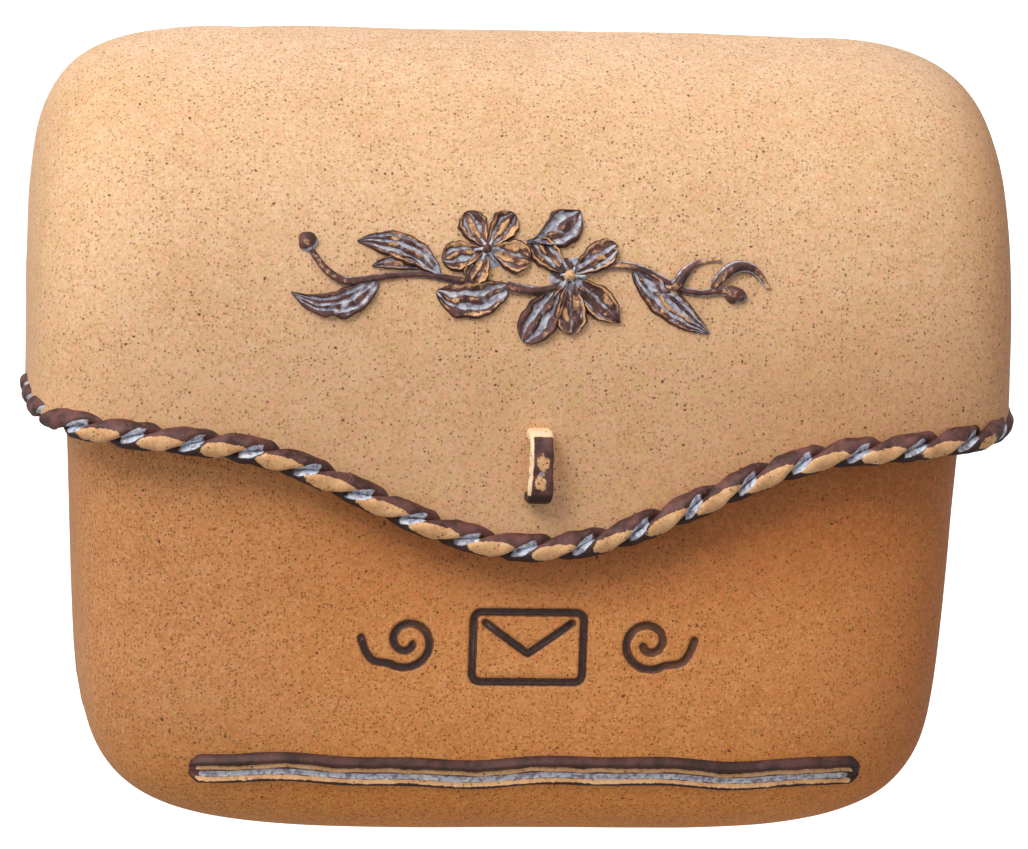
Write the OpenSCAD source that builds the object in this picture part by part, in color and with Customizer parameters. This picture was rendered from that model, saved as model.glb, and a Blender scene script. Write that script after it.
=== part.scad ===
// Wall-mounted stoneware mailbox: a flat back slab, a bellied pocket and a hinged hood
// whose flap hangs over the pocket, edged with a twisted clay rope.
// The wall is the plane y = 0 and the front faces -Y. The origin lies on the wall face,
// midway between the two screw holes. Millimetres.

/* [Overall] */
// Height from the bottom of the pocket to the top of the hood
overall_h = 310; // [290:1:330]
// Height of the screw holes above the bottom of the pocket
hole_h = 240; // [234:1:244]
// Thickness of the clay walls
wall = 7; // [5:0.5:8]

/* [Hood] */
// Width of the hood across its side returns
hood_w = 376; // [368:1:400]
// Depth of the hood from its rear edge to its front
hood_d = 102; // [100:1:108]
// Height of the rounded upper part of the hood
hood_crown = 125; // [120:1:132]
// Squareness of the hood seen from the front
hood_q = 5.7; // [5:0.1:6.5]
// Squareness of the hood seen from the side
hood_m = 2.2; // [2.1:0.1:2.6]
// Height of the middle of the flap's wavy edge above the bottom
flap_low = 120; // [110:1:124]
// Rise of the wavy edge from its middle to its shoulders
flap_rise = 38; // [30:1:40]
// Distance from the middle to the shoulders
flap_reach = 128; // [110:1:140]
// Further rise of the edge along the side returns
side_rise = 4; // [0:1:10]

/* [Pocket] */
// Width of the pocket at its rim
pocket_w = 350; // [340:1:352]
// Depth of the pocket in front of the back slab
pocket_d = 93; // [88:1:94]
// Height of the pocket's rim above its bottom
rim_h = 215; // [205:1:220]
// Height of the rounded lower part of the pocket
pocket_foot = 94; // [80:1:95]
// Squareness of the pocket seen from the front
pocket_q = 4.8; // [4:0.1:5.2]
// Squareness of the pocket seen from the side
pocket_m = 3.8; // [3:0.2:5]
// Narrowing of each side per millimetre of height
taper = 0.056; // [0.03:0.002:0.07]
// How far the front leans in between its belly and its rim
pocket_bow = 3; // [2:0.5:6]

/* [Back slab] */
// Thickness of the back slab
slab_t = 8; // [7:0.5:9]
// Distance between the two screw holes
hole_spacing = 160; // [140:5:180]
// Diameter of the screw holes
hole_d = 7; // [6:0.5:8]

/* [Hinge] */
// Diameter of the hinge pins
pin_d = 6; // [5:0.5:6]
// Distance of each hinge from the middle
hinge_x = 85; // [80:1:88]
// Width of a lug on the back slab
lug_w = 24; // [20:1:24]
// Width of a lug under the hood
hood_lug_w = 13; // [12:0.5:13]
// Gap between two lugs
lug_gap = 1; // [0.8:0.1:1.5]
// Running clearance between a pin and its bush, on the radius
pin_clearance = 0.05; // [0.02:0.01:0.1]

/* [Rope] */
// Half thickness of one strand, across the rope
strand_thick = 2.8; // [2.4:0.1:3.2]
// Half width of one strand, round the rope
strand_wide = 4.1; // [3:0.1:4.4]
// Distance from the rope's centre line to each strand's centre
strand_off = 2.6; // [2.2:0.1:3]
// Length of one full turn of the rope
rope_pitch = 44; // [36:1:52]
// How much deeper the rope sits in the side returns than in the front
rope_sunk = 3.8; // [0:0.2:4]

/* [Pull loop] */
// Width of the loop's strap
loop_w = 9; // [7:0.5:11]
// Height of the loop
loop_h = 28; // [24:1:32]
// How far the loop stands out from the flap
loop_out = 13; // [11:0.5:15]
// Thickness of the loop's strap
loop_t = 4.2; // [3.5:0.1:5]

/* [Hidden] */
$fn = 48;

// Colours of the bare clay, the iron-stained clay and the small hardware
clay = [0.84, 0.62, 0.40];
stain = [0.32, 0.20, 0.16];
steel = [0.72, 0.73, 0.74];
rubber = [0.12, 0.12, 0.12];
nylon = [0.90, 0.89, 0.84];

// Heights in the model's frame
z_bottom = -hole_h;
z_top = z_bottom + overall_h;
z_rim = z_bottom + rim_h;
z_crown = z_top - hood_crown;
z_foot = z_bottom + pocket_foot;
z_belly = z_bottom + 120;

// The hinge: the hood's rear edge turns inside sweep_r of the axis
sweep_r = 19.5;
roll_r = 17.5;
axis_y = -slab_t - sweep_r;
axis_z = z_top - 18.5;
hood_rear = axis_y + roll_r;
hood_lug_r = 9.5;
slab_lug_r = 8.7;
bush_r = 4.6;
roll_half = hinge_x + lug_w / 2 + lug_gap + hood_lug_w;

// Facets of the two shells: columns round them, rows along their straight and rounded parts
columns = 40;
straight_rows = 7;
round_rows = 11;

// ---- Shared geometry ----

// Radius of a unit superellipse with exponent n in the direction (c, s)
function reach(c, s, n) = pow(pow(abs(c), n) + pow(abs(s), n), -1 / n);
// Depth left at a place whose other coordinates use up the shares u (sideways) and v (upwards)
function depth_share(u, v, q, m) =
    pow(max(0, pow(max(0, 1 - pow(abs(u), q)), m / q) - pow(max(0, v), m)), 1 / m);
function unit(v) = v / norm(v);
function mix(a, b, t) = a + (b - a) * t;
function bezier(a, b, c, t) = mix(mix(a, b, t), mix(b, c, t), t);

// Outer face of the hood as y over x and z, and its outward normal
function hood_y(x, z) =
    hood_rear - hood_d * depth_share(2 * x / hood_w, (z - z_crown) / hood_crown, hood_q, hood_m);
function hood_normal(x, z) = unit([
    (hood_y(x + 0.5, z) - hood_y(x - 0.5, z)), -1,
    (hood_y(x, z + 0.5) - hood_y(x, z - 0.5))
]);
function on_hood(x, z, h) = [x, hood_y(x, z), z] + h * hood_normal(x, z);

// Half width and depth of the pocket at a height, and its outer face
function pocket_half(z) = pocket_w / 2 - taper * (z_rim - z);
function pocket_deep(z) = pocket_d - pocket_bow * pow((z - z_belly) / (z_rim - z_belly), 2);
function pocket_y(x, z) =
    -slab_t - pocket_deep(z)
    * depth_share(x / pocket_half(z), (z_foot - z) / pocket_foot, pocket_q, pocket_m);
function pocket_normal(x, z) = unit([
    (pocket_y(x + 0.5, z) - pocket_y(x - 0.5, z)), -1,
    (pocket_y(x, z + 0.5) - pocket_y(x, z - 0.5))
]);
function on_pocket(x, z, h) = [x, pocket_y(x, z), z] + h * pocket_normal(x, z);

// Height of the flap's edge, from the sideways place x and the depth share f of a point on it
function wave(x) =
    z_bottom + flap_low
    + flap_rise * (1 - cos(180 * min(abs(x), flap_reach) / flap_reach)) / 2
    + 0.08 * max(0, abs(x) - flap_reach);
function flap_edge(x, f) = wave(x) + side_rise * (1 - f);

// A closed solid through a list of rings with equally many points
module sweep(rings) {
    n = len(rings[0]);
    last = len(rings) - 1;
    polyhedron(
        points = [for (r = rings) for (p = r) p],
        faces = concat(
            [[for (i = [0:n - 1]) i]],
            [[for (i = [n - 1:-1:0]) last * n + i]],
            [for (r = [0:last - 1]) for (i = [0:n - 1]) let (j = (i + 1) % n)
                [r * n + j, r * n + i, (r + 1) * n + i]],
            [for (r = [0:last - 1]) for (i = [0:n - 1]) let (j = (i + 1) % n)
                [r * n + j, (r + 1) * n + i, (r + 1) * n + j]]
        ),
        convexity = 6
    );
}

// A wall between two grids of points. Rows past `straight` meet in one pole at each side.
module shell(outer, inner, straight) {
    rows = len(outer) - 1;
    cols = len(outer[0]) - 1;
    count = (rows + 1) * (cols + 1);
    function at(r, c) =
        (r > straight && (c == 0 || c == cols) ? straight : r) * (cols + 1) + c;
    function quad(a, b, c, d) = [[a, b, c], [a, c, d]];
    skin = [for (r = [0:rows - 1]) for (c = [0:cols - 1])
        for (t = quad(at(r, c), at(r, c + 1), at(r + 1, c + 1), at(r + 1, c))) t];
    lining = [for (t = skin) [t[2] + count, t[1] + count, t[0] + count]];
    ends = [for (c = [0:cols - 1]) for (t = concat(
        quad(at(0, c + 1), at(0, c), at(0, c) + count, at(0, c + 1) + count),
        quad(at(rows, c), at(rows, c + 1), at(rows, c + 1) + count, at(rows, c) + count))) t];
    sides = [for (r = [0:straight - 1]) for (t = concat(
        quad(at(r, 0), at(r + 1, 0), at(r + 1, 0) + count, at(r, 0) + count),
        quad(at(r + 1, cols), at(r, cols), at(r, cols) + count, at(r + 1, cols) + count))) t];
    polyhedron(
        points = concat([for (r = outer) for (p = r) p], [for (r = inner) for (p = r) p]),
        faces = [for (t = concat(skin, lining, ends, sides))
            if (t[0] != t[1] && t[1] != t[2] && t[2] != t[0]) t],
        convexity = 6
    );
}

// ---- Back slab and pocket ----

// Rear outline of the box: the pocket's foot and sides, closed by a rounded top
slab_top = axis_z + 6;
slab_side = concat(
    [for (t = [90:-6:0])
        let (k = reach(cos(t), sin(t), pocket_q), z = z_foot - pocket_foot * k * sin(t))
        [pocket_half(z) * k * cos(t), z]],
    [for (t = [24:6:90])
        let (k = reach(cos(t), sin(t), hood_q))
        [pocket_half(z_rim) * k * cos(t), z_crown + (slab_top - z_crown) * k * sin(t)]]
);

module back_slab() {
    color(clay) difference() {
        rotate([90, 0, 0]) linear_extrude(slab_t) polygon(concat(
            slab_side, [for (i = [len(slab_side) - 2:-1:1]) [-slab_side[i][0], slab_side[i][1]]]
        ));
        for (x = [-1, 1]) translate([x * hole_spacing / 2, 1, 0])
            rotate([90, 0, 0]) cylinder(d = hole_d, h = slab_t + 2);
    }
}

// One point of the pocket's outer face (inset 0) or inner face (inset wall)
function pocket_point(al, ps, z, inset) =
    let (
        k = reach(cos(al), sin(al), pocket_q),
        f = k * sin(al),
        g = reach(cos(ps), sin(ps), pocket_m),
        zz = z - (pocket_foot - inset) * f * g * sin(ps)
    )
    [(pocket_half(zz) - inset) * k * cos(al), -slab_t - (pocket_deep(zz) - inset) * f * g * cos(ps), zz];
function pocket_grid(inset) = concat(
    [for (r = [0:straight_rows]) [for (c = [0:columns])
        pocket_point(180 * c / columns, 0, mix(z_rim, z_foot, r / straight_rows), inset)]],
    [for (r = [1:round_rows]) [for (c = [0:columns])
        pocket_point(180 * c / columns, 90 * r / round_rows, z_foot, inset)]]
);

module body_pocket() {
    color(clay) shell(pocket_grid(0), pocket_grid(wall), straight_rows);
}

// ---- Hood ----

// How far the hood's rear edge stays in front of hood_rear, to turn clear of the slab
function rear_trim(z) =
    z >= axis_z + roll_r ? roll_r
    : z <= axis_z ? 0
    : roll_r - sqrt(roll_r * roll_r - pow(z - axis_z, 2));
function hood_point(al, share, inset) =
    let (
        k = reach(cos(al), sin(al), hood_q),
        f = k * sin(al),
        trim = rear_trim(z_crown + hood_crown * f),
        left = f > 0.01 ? trim / ((hood_d - inset) * f) : 0,
        ps = share * atan2(pow(max(0, 1 - pow(left, hood_m)), 1 / hood_m), left),
        g = reach(cos(ps), sin(ps), hood_m)
    )
    [
        (hood_w / 2 - inset) * k * cos(al),
        hood_rear - (hood_d - inset) * f * g * cos(ps),
        z_crown + (hood_crown - inset) * f * g * sin(ps)
    ];
function flap_point(al, t, inset) =
    let (
        k = reach(cos(al), sin(al), hood_q),
        f = k * sin(al),
        x = hood_w / 2 * k * cos(al)
    )
    [
        (hood_w / 2 - inset) * k * cos(al), hood_rear - (hood_d - inset) * f,
        mix(flap_edge(x, f), z_crown, t)
    ];
function hood_grid(inset) = concat(
    [for (r = [0:straight_rows]) [for (c = [0:columns])
        flap_point(180 * c / columns, r / straight_rows, inset)]],
    [for (r = [1:round_rows]) [for (c = [0:columns])
        hood_point(180 * c / columns, r / round_rows, inset)]]
);

module lid_hood() {
    color(clay) shell(hood_grid(0), hood_grid(wall), straight_rows);
}

// Rolled rear edge, in three lengths with a gap for each lug of the back slab
module rear_roll() {
    gap = lug_w / 2 + lug_gap;
    for (span = [[-roll_half, -hinge_x - gap], [gap - hinge_x, hinge_x - gap], [hinge_x + gap, roll_half]])
        color(clay) translate([span[0], axis_y, axis_z]) rotate([90, 0, 90])
            difference() {
                cylinder(r = roll_r, h = span[1] - span[0]);
                translate([0, 0, -1]) cylinder(r = roll_r - wall, h = span[1] - span[0] + 2);
                translate([-2 * roll_r, -2 * roll_r, -1]) cube([2 * roll_r, 4 * roll_r, hood_w]);
                translate([0, -2 * roll_r, -1]) cube([2 * roll_r, 2 * roll_r - 2, hood_w]);
            }
}

// Height of the hood's rear edge at the sideways place x
function rear_height(x) =
    let (
        f = pow(1 - pow(abs(2 * x / hood_w), hood_q), 1 / hood_q),
        left = rear_trim(z_crown + hood_crown * f) / (hood_d * f)
    )
    z_crown + hood_crown * f * pow(1 - pow(left, hood_m), 1 / hood_m);

// The roll's outer ends, which sink with the hood's shoulders
roll_end = 164;
module roll_end_right() {
    outer = roll_r - 0.5;
    inner = outer - wall + 1;
    color(clay) sweep([for (i = [0:12])
        let (
            x = mix(roll_half, roll_end, i / 12),
            top = asin(min(1, (rear_height(x) - axis_z) / roll_r)) + 2
        )
        [for (t = [0:9])
            let (
                r = t < 5 ? outer : inner,
                a = t < 5 ? mix(top, -7, t / 4) : mix(-7, top, (t - 5) / 4)
            )
            [x, axis_y + r * cos(a), axis_z + r * sin(a)]]]);
}
module roll_end_left() {
    mirror([1, 0, 0]) roll_end_right();
}

// ---- Hinge ----

// Everything on the hinge is drawn along its axis, with u pointing away from the front
module on_axis(x) {
    translate([x, axis_y, axis_z]) rotate([90, 0, 90]) children();
}

module hinge_lug(side) {
    color(clay) on_axis(side * hinge_x - lug_w / 2) difference() {
        union() {
            cylinder(r = slab_lug_r, h = lug_w);
            linear_extrude(lug_w)
                polygon([[0, 0], [sweep_r, -9.1], [sweep_r, -27], [13, -27], [-7.8, -3.8]]);
        }
        translate([0, 0, -1]) cylinder(d = pin_d, h = lug_w + 2);
    }
}

// A lug under the hood, centred at x, bored for its bush and closed up to the hood's lining
module lid_lug(x) {
    color(clay) on_axis(x - hood_lug_w / 2) difference() {
        union() {
            cylinder(r = hood_lug_r, h = hood_lug_w);
            translate([-hood_lug_r, 0, 0]) cube([1.6 * hood_lug_r, 11.6, hood_lug_w]);
        }
        translate([0, 0, -1]) cylinder(r = bush_r, h = hood_lug_w + 2);
    }
}

module bush(x) {
    color(nylon) on_axis(x - hood_lug_w / 2) difference() {
        cylinder(r = bush_r, h = hood_lug_w);
        translate([0, 0, -1]) cylinder(r = pin_d / 2 + pin_clearance, h = hood_lug_w + 2);
    }
}

lug_reach = lug_w / 2 + lug_gap + hood_lug_w / 2;
pin_half = lug_w / 2 + lug_gap + hood_lug_w + 2;
module hinge_pin(side) {
    color(steel) on_axis(side * hinge_x - pin_half) cylinder(d = pin_d, h = 2 * pin_half);
}

// Push-on caps that keep the pins in place
module pin_caps() {
    for (side = [-1, 1]) for (end = [-1, 1])
        color(steel) on_axis(side * hinge_x + end * (pin_half - 0.5)) rotate([0, 90 - 90 * end, 0])
            difference() {
                translate([0, 0, -1]) cylinder(r = 5.5, h = 3);
                translate([0, 0, -2]) cylinder(d = pin_d, h = 2.5);
            }
}

// ---- Small hardware ----

module wall_washers() {
    for (side = [-1, 1]) color(rubber)
        translate([side * hole_spacing / 2, -slab_t, 0]) rotate([90, 0, 0]) difference() {
            cylinder(d = 18, h = 2);
            translate([0, 0, -1]) cylinder(d = hole_d, h = 4);
        }
}

// Soft pads on the pocket's front that the closed flap rests on
buffer_x = 105;
buffer_z = z_rim - 24;
module lid_buffers() {
    pad_front = hood_y(buffer_x, buffer_z) + wall + 1.1;
    pad_back = pocket_y(buffer_x, buffer_z) + 1;
    for (side = [-1, 1]) color(rubber)
        translate([side * buffer_x, pad_back, buffer_z]) rotate([90, 0, 0])
            cylinder(r = 5, h = pad_back - pad_front);
}

// ---- Applied decoration on the pocket ----

// Cross-section of the band: two ridges with a trough between them, as [height, thickness]
band_profile = [[-6, -1], [-6, 1.2], [-3.6, 2.6], [-1.4, 1.2], [0.4, 1.2], [3, 3.4], [6, 1.8], [6, -1]];
band_left = -126;
band_right = 131;
band_z = z_bottom + 32.5;
module base_band() {
    steps = 44;
    color(stain) sweep([for (i = [0:steps])
        let (
            x = mix(band_left, band_right, i / steps),
            lean = 0.9 * sin(x * 3.1) + 0.5 * sin(x * 7.3 + 40),
            end = min(1, 0.55 + 0.45 * min(i, steps - i))
        )
        [for (p = band_profile) on_pocket(x, band_z + lean + p[0] * end, p[1] > 0 ? p[1] * end : p[1])]]);
}

// A stroke of dark slip along a path of [x, z] points on the pocket's face
slip_r = 1.4;
module slip_stroke(path) {
    last = len(path) - 1;
    color(stain) sweep([for (i = [0:last])
        let (
            along = path[min(i + 1, last)] - path[max(i - 1, 0)],
            dir = along / norm(along),
            r = i == 0 || i == last ? 0.6 * slip_r : slip_r
        )
        [for (t = [0:60:300]) let (w = r * cos(t))
            on_pocket(path[i][0] - dir[1] * w, path[i][1] + dir[0] * w, -0.7 * r * sin(t))]]);
}

motif_z = z_bottom + 82;
env_w = 42;
env_h = 27;
env_r = 3;
// Outline of the envelope, from the upper left corner once round
envelope_path = [for (k = [0:3]) for (t = [0:30:90])
    let (
        a = 180 - 90 * k - t,
        sx = k == 0 || k == 3 ? -1 : 1,
        sz = k < 2 ? 1 : -1
    )
    [sx * (env_w / 2 - env_r) + env_r * cos(a), motif_z + sz * (env_h / 2 - env_r) + env_r * sin(a)]];
module slip_envelope() {
    slip_stroke(concat(envelope_path, [[-env_w / 2, motif_z + env_h / 2 - env_r - 2.2]]));
    slip_stroke([for (i = [0:8]) let (t = i / 8)
        [mix(-env_w / 2 + 4.5, env_w / 2 - 4.5, t), motif_z + env_h / 2 - 4 - 12 * (1 - abs(2 * t - 1))]]);
}

// A scroll that uncurls away from the envelope, with a tail that dips below it
module slip_scroll(side) {
    slip_stroke(concat(
        [for (t = [0:24:456]) let (r = 2.4 + 8.4 * t / 456)
            [side * (46 + r * cos(t - 150)), motif_z + 2 + r * sin(t - 150)]],
        [for (t = [1:5]) [side * (55.4 + 2.2 * t - 0.12 * t * t), motif_z - 6 - 0.4 * t + 0.45 * t * t]]
    ));
}

// ---- Rope along the flap's edge ----

function rope_base(al) =
    let (
        k = reach(cos(al), sin(al), hood_q),
        f = k * sin(al),
        x = hood_w / 2 * k * cos(al),
        out = unit([
            pow(abs(k * cos(al)), hood_q - 1) * sign(cos(al)) / (hood_w / 2),
            -pow(f, hood_q - 1) / hood_d, 0
        ]),
        sunk = min(1, max(0, (0.97 - f) / 0.27))
    )
    [x, hood_rear - hood_d * f, flap_edge(x, f) + 2.5]
    + (0.6 - rope_sunk * sunk * sunk * (3 - 2 * sunk)) * out;
rope_samples = [for (i = [0:360]) rope_base(180 * i / 360)];
function running(list, i = 0, sum = 0) =
    i == len(list) ? [] : concat([[sum, i / 2]],
        running(list, i + 1, i + 1 < len(list) ? sum + norm(list[i + 1] - list[i]) : sum));
rope_table = running(rope_samples);
rope_length = rope_table[len(rope_table) - 1][0];
rope_step = 3.3;
function rope_at(s) = rope_base(lookup(s, rope_table));
module rope_strand(phase) {
    rings = floor(rope_length / rope_step);
    up = [0, 0, 1];
    color(stain) sweep([for (i = [0:rings])
        let (
            s = mix(1, rope_length - 1, i / rings),
            p = rope_at(s),
            dir = unit(rope_at(s + 1) - rope_at(s - 1)),
            side = unit(cross(dir, up)),
            top = cross(side, dir),
            turn = phase + 360 * s / rope_pitch,
            away = cos(turn) * side + sin(turn) * top,
            round = cos(turn) * top - sin(turn) * side,
            k = min(1, 0.5 + 0.25 * min(i, rings - i))
        )
        [for (t = [0:36:324])
            p + (strand_off + k * strand_thick * cos(t)) * away + k * strand_wide * sin(t) * round]]);
}

// ---- Pull loop ----

loop_z = z_bottom + 154;
module pull_loop() {
    face = hood_y(0, loop_z);
    radius = 9;
    color(clay) translate([-loop_w / 2, face + 1.5, loop_z]) rotate([90, 0, 90])
        linear_extrude(loop_w) difference() {
            loop_outline(loop_out + 1.5, loop_h, radius);
            translate([1, 0]) loop_outline(loop_out + 2.5 - loop_t, loop_h - 2 * loop_t, radius - loop_t);
        }
}
// A bar of depth d and height h, square at the flap and round at its outer corners
module loop_outline(d, h, r) {
    translate([r - d, -h / 2]) square([d - r, h]);
    translate([-d, r - h / 2]) square([d, h - 2 * r]);
    for (s = [-1, 1]) translate([r - d, s * (h / 2 - r)]) circle(r);
}

// ---- Sprig of flowers on the hood ----

// A leaf from base to tip in [x, z], bent towards a control point
module leaf(base, bend, tip, half, thick, steps = 9) {
    crest = 0.9 * thick;
    section = [[-1, -0.8], [-1, 0.6], [-0.5, crest], [0, thick], [0.5, crest], [1, 0.6], [1, -0.8]];
    color(stain) sweep([for (i = [0:steps])
        let (
            t = i / steps,
            p = bezier(base, bend, tip, t),
            dir = unit(mix(bend - base, tip - bend, t)),
            w = half * (0.16 + 0.84 * pow(sin(180 * pow(t, 0.85)), 0.8)) * (i == steps ? 0.4 : 1),
            lift = 0.5 + 0.5 * sin(180 * t)
        )
        [for (c = section) on_hood(
            p[0] - dir[1] * w * c[0], p[1] + dir[0] * w * c[0], c[1] > 0.7 ? c[1] * lift : c[1])]]);
}

// Outline radius of a flower in the direction th, from its petals' [angle, length] list
flower_core = 5;
function petal_share(th, petal) =
    cos(90 * min(1, abs((th - petal[0] + 900) % 360 - 180) / 37));
function flower_radius(th, petals) =
    flower_core + max([for (p = petals) (p[1] - flower_core) * pow(max(0, petal_share(th, p)), 0.75)]);

// A flower pressed from one piece of clay: rings of [share of the outline, height]
module flower(centre, tips, thick) {
    petals = [for (t = tips) [atan2(t[1], t[0]), norm(t)]];
    rings = [
        [0.15, -0.8], [0.6, -0.8], [1, -0.8], [1, 0.7],
        [0.82, 0.9 * thick], [0.5, thick], [0.15, 0.7 * thick]
    ];
    color(stain) sweep([for (g = rings)
        [for (th = [0:6:354]) let (r = g[0] * flower_radius(th, petals))
            on_hood(centre[0] + r * cos(th), centre[1] + r * sin(th), g[1])]]);
}

// A round stem through [x, z] points
module stem(path, r) {
    last = len(path) - 1;
    color(stain) sweep([for (i = [0:last])
        let (
            along = path[min(i + 1, last)] - path[max(i - 1, 0)],
            dir = along / norm(along),
            w = i == 0 || i == last ? 0.6 * r : r
        )
        [for (t = [0:60:300]) let (c = w * cos(t))
            on_hood(path[i][0] - dir[1] * c, path[i][1] + dir[0] * c, 0.5 * r - w * sin(t))]]);
}

module bud(x, z, r) {
    color(stain) translate(on_hood(x, z, 1)) sphere(r);
}

// Places on the hood as [x, z], with z measured from the bottom of the pocket
function place(x, z) = [x, z_bottom + z];
left_flower = place(-21, 234);
right_flower = place(10, 225);
left_tips = [[-5, 12.5], [-15.5, 0.5], [-4.5, -10.5], [16, -1], [10.5, 11.5]];
right_tips = [[-13, 12.5], [17, 11], [19, -16], [0, -20], [-18, -22]];
stem_left_path = [
    place(-85.5, 231), place(-81.5, 225.5), place(-74, 221),
    place(-61, 224), place(-48, 225), place(-35, 224.5)
];
stem_right_path = [
    place(23.5, 226.5), place(36.5, 227.5), place(45, 224),
    place(52, 220.5), place(59.5, 219.5), place(67, 221), place(72, 220)
];

// ---- Every node ----

back_slab();
body_pocket();
hinge_lug(-1);  // hinge_lug_left
hinge_lug(1);  // hinge_lug_right
hinge_pin(-1);  // hinge_pin_left
hinge_pin(1);  // hinge_pin_right
pin_caps();
wall_washers();
lid_buffers();
base_band();
slip_envelope();
slip_scroll(-1);  // slip_scroll_left
slip_scroll(1);  // slip_scroll_right
lid_hood();
rear_roll();
roll_end_left();
roll_end_right();
lid_lug(-hinge_x - lug_reach);  // lid_lug_left_outer
lid_lug(-hinge_x + lug_reach);  // lid_lug_left_inner
lid_lug(hinge_x - lug_reach);  // lid_lug_right_inner
lid_lug(hinge_x + lug_reach);  // lid_lug_right_outer
bush(-hinge_x - lug_reach);  // bush_left_outer
bush(-hinge_x + lug_reach);  // bush_left_inner
bush(hinge_x - lug_reach);  // bush_right_inner
bush(hinge_x + lug_reach);  // bush_right_outer
rope_strand(0);  // rope_strand_a
rope_strand(180);  // rope_strand_b
pull_loop();
stem(stem_left_path, 1.3);  // stem_left
stem(stem_right_path, 1.3);  // stem_right
bud(-88, z_bottom + 236, 3.6);  // bud_left
bud(73, z_bottom + 218, 3.4);  // bud_right
leaf(place(-62, 223), place(-74, 207), place(-93.5, 217), 5.6, 2.6);  // leaf_left_lower
leaf(place(-38.5, 224.5), place(-48, 238), place(-69.5, 236), 5.2, 2.6);  // leaf_left_upper
leaf(place(-12, 217), place(-25, 207), place(-40, 217.5), 6.4, 2.6);  // leaf_under
leaf(place(-6, 239), place(4, 242), place(13, 249.5), 5.6, 2.8);  // leaf_top
leaf(place(36.5, 227), place(45, 213), place(62.5, 205), 5.8, 2.8);  // leaf_right
leaf(place(50.5, 221), place(55, 231), place(67, 231.5), 2.6, 2);  // curl_upper
leaf(place(66, 222), place(76, 234), place(86, 221.5), 3, 2);  // curl_end
flower(left_flower, left_tips, 3.4);  // flower_left
bud(left_flower[0], left_flower[1], 3.6);  // flower_left_eye
flower(right_flower, right_tips, 3.4);  // flower_right
bud(right_flower[0], right_flower[1], 3.6);  // flower_right_eye
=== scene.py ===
"""Looks of the wall-mounted stoneware mailbox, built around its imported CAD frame.

Shapes are worked out in millimetres in the frame's axes: +X right, +Z up, the front faces -Y.
"""

import math

import bmesh
import bpy
import numpy as np
from mathutils import Matrix, Vector


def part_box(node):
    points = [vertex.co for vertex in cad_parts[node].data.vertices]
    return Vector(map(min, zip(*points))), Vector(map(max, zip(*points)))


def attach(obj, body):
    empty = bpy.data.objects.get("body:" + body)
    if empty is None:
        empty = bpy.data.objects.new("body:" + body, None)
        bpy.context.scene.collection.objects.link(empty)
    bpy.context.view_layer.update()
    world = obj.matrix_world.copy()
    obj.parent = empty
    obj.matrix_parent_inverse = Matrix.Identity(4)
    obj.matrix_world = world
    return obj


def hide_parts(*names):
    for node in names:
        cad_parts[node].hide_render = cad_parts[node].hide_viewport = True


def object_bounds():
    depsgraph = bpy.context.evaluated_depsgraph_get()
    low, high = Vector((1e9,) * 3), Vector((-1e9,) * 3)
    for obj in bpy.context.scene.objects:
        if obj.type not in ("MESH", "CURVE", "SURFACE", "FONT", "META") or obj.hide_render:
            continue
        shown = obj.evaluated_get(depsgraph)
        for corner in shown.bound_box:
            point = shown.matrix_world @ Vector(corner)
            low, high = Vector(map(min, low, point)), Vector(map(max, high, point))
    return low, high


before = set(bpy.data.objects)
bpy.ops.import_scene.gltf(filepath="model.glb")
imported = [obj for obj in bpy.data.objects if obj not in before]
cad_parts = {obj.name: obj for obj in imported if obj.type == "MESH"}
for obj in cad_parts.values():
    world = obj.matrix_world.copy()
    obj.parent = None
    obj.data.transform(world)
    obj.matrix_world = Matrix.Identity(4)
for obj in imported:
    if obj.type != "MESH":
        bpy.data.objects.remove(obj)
cad_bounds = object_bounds()
MM = 0.001

# ---- Sizes from the frame, and the proportions of the forms ----


def box_mm(node):
    lo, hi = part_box(node)
    return np.array(lo) / MM, np.array(hi) / MM


hood_lo, hood_hi = box_mm("lid_hood")
pocket_lo, pocket_hi = box_mm("body_pocket")
slab_lo, _ = box_mm("back_slab")
pin_lo, pin_hi = box_mm("hinge_pin_left")
loop_lo, loop_hi = box_mm("pull_loop")

Z_BOTTOM = slab_lo[2]
WALL = 7.0

# The hood: Q is the exponent of its outline seen from above, M that of its side view
HOOD_HALF = hood_hi[0]
HOOD_REAR = hood_hi[1]
HOOD_D = HOOD_REAR - hood_lo[1]
HOOD_CROWN = 125.0
HEIGHT = 310.0
Z_CROWN = Z_BOTTOM + HEIGHT - HOOD_CROWN
HOOD_Q, HOOD_M = 5.7, 2.2
AXIS_Y = (pin_lo[1] + pin_hi[1]) / 2
AXIS_Z = (pin_lo[2] + pin_hi[2]) / 2
ROLL_R = HOOD_REAR - AXIS_Y
LUG_GAP = (71.0, 99.0)
SHOULDER = 166.0

# The pocket, and the flap's wavy edge in front of it
SLAB_T = -slab_lo[1]
POCKET_W = 2 * pocket_hi[0]
POCKET_D = -SLAB_T - pocket_lo[1]
Z_RIM = pocket_hi[2]
FOOT = 94.0
Z_FOOT = Z_BOTTOM + FOOT
Z_BELLY = Z_BOTTOM + 120.0
POCKET_Q, POCKET_M = 4.8, 3.8
TAPER, BOW = 0.056, 3.0
FLAP_LOW, FLAP_RISE, FLAP_SPAN, FLAP_SLOPE = 120, 38, 128, 0.08


def step(a, b, x):
    """0 before a and 1 past b, with a smooth rise between."""
    t = np.clip((x - a) / (b - a), 0.0, 1.0)
    return t * t * (3 - 2 * t)


def circle(count):
    return np.linspace(0, 2 * np.pi, count, endpoint=False)


def mix(a, b, t):
    return a + (b - a) * t


def unit(v):
    return v / np.maximum(np.linalg.norm(v, axis=-1, keepdims=True), 1e-12)


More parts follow.
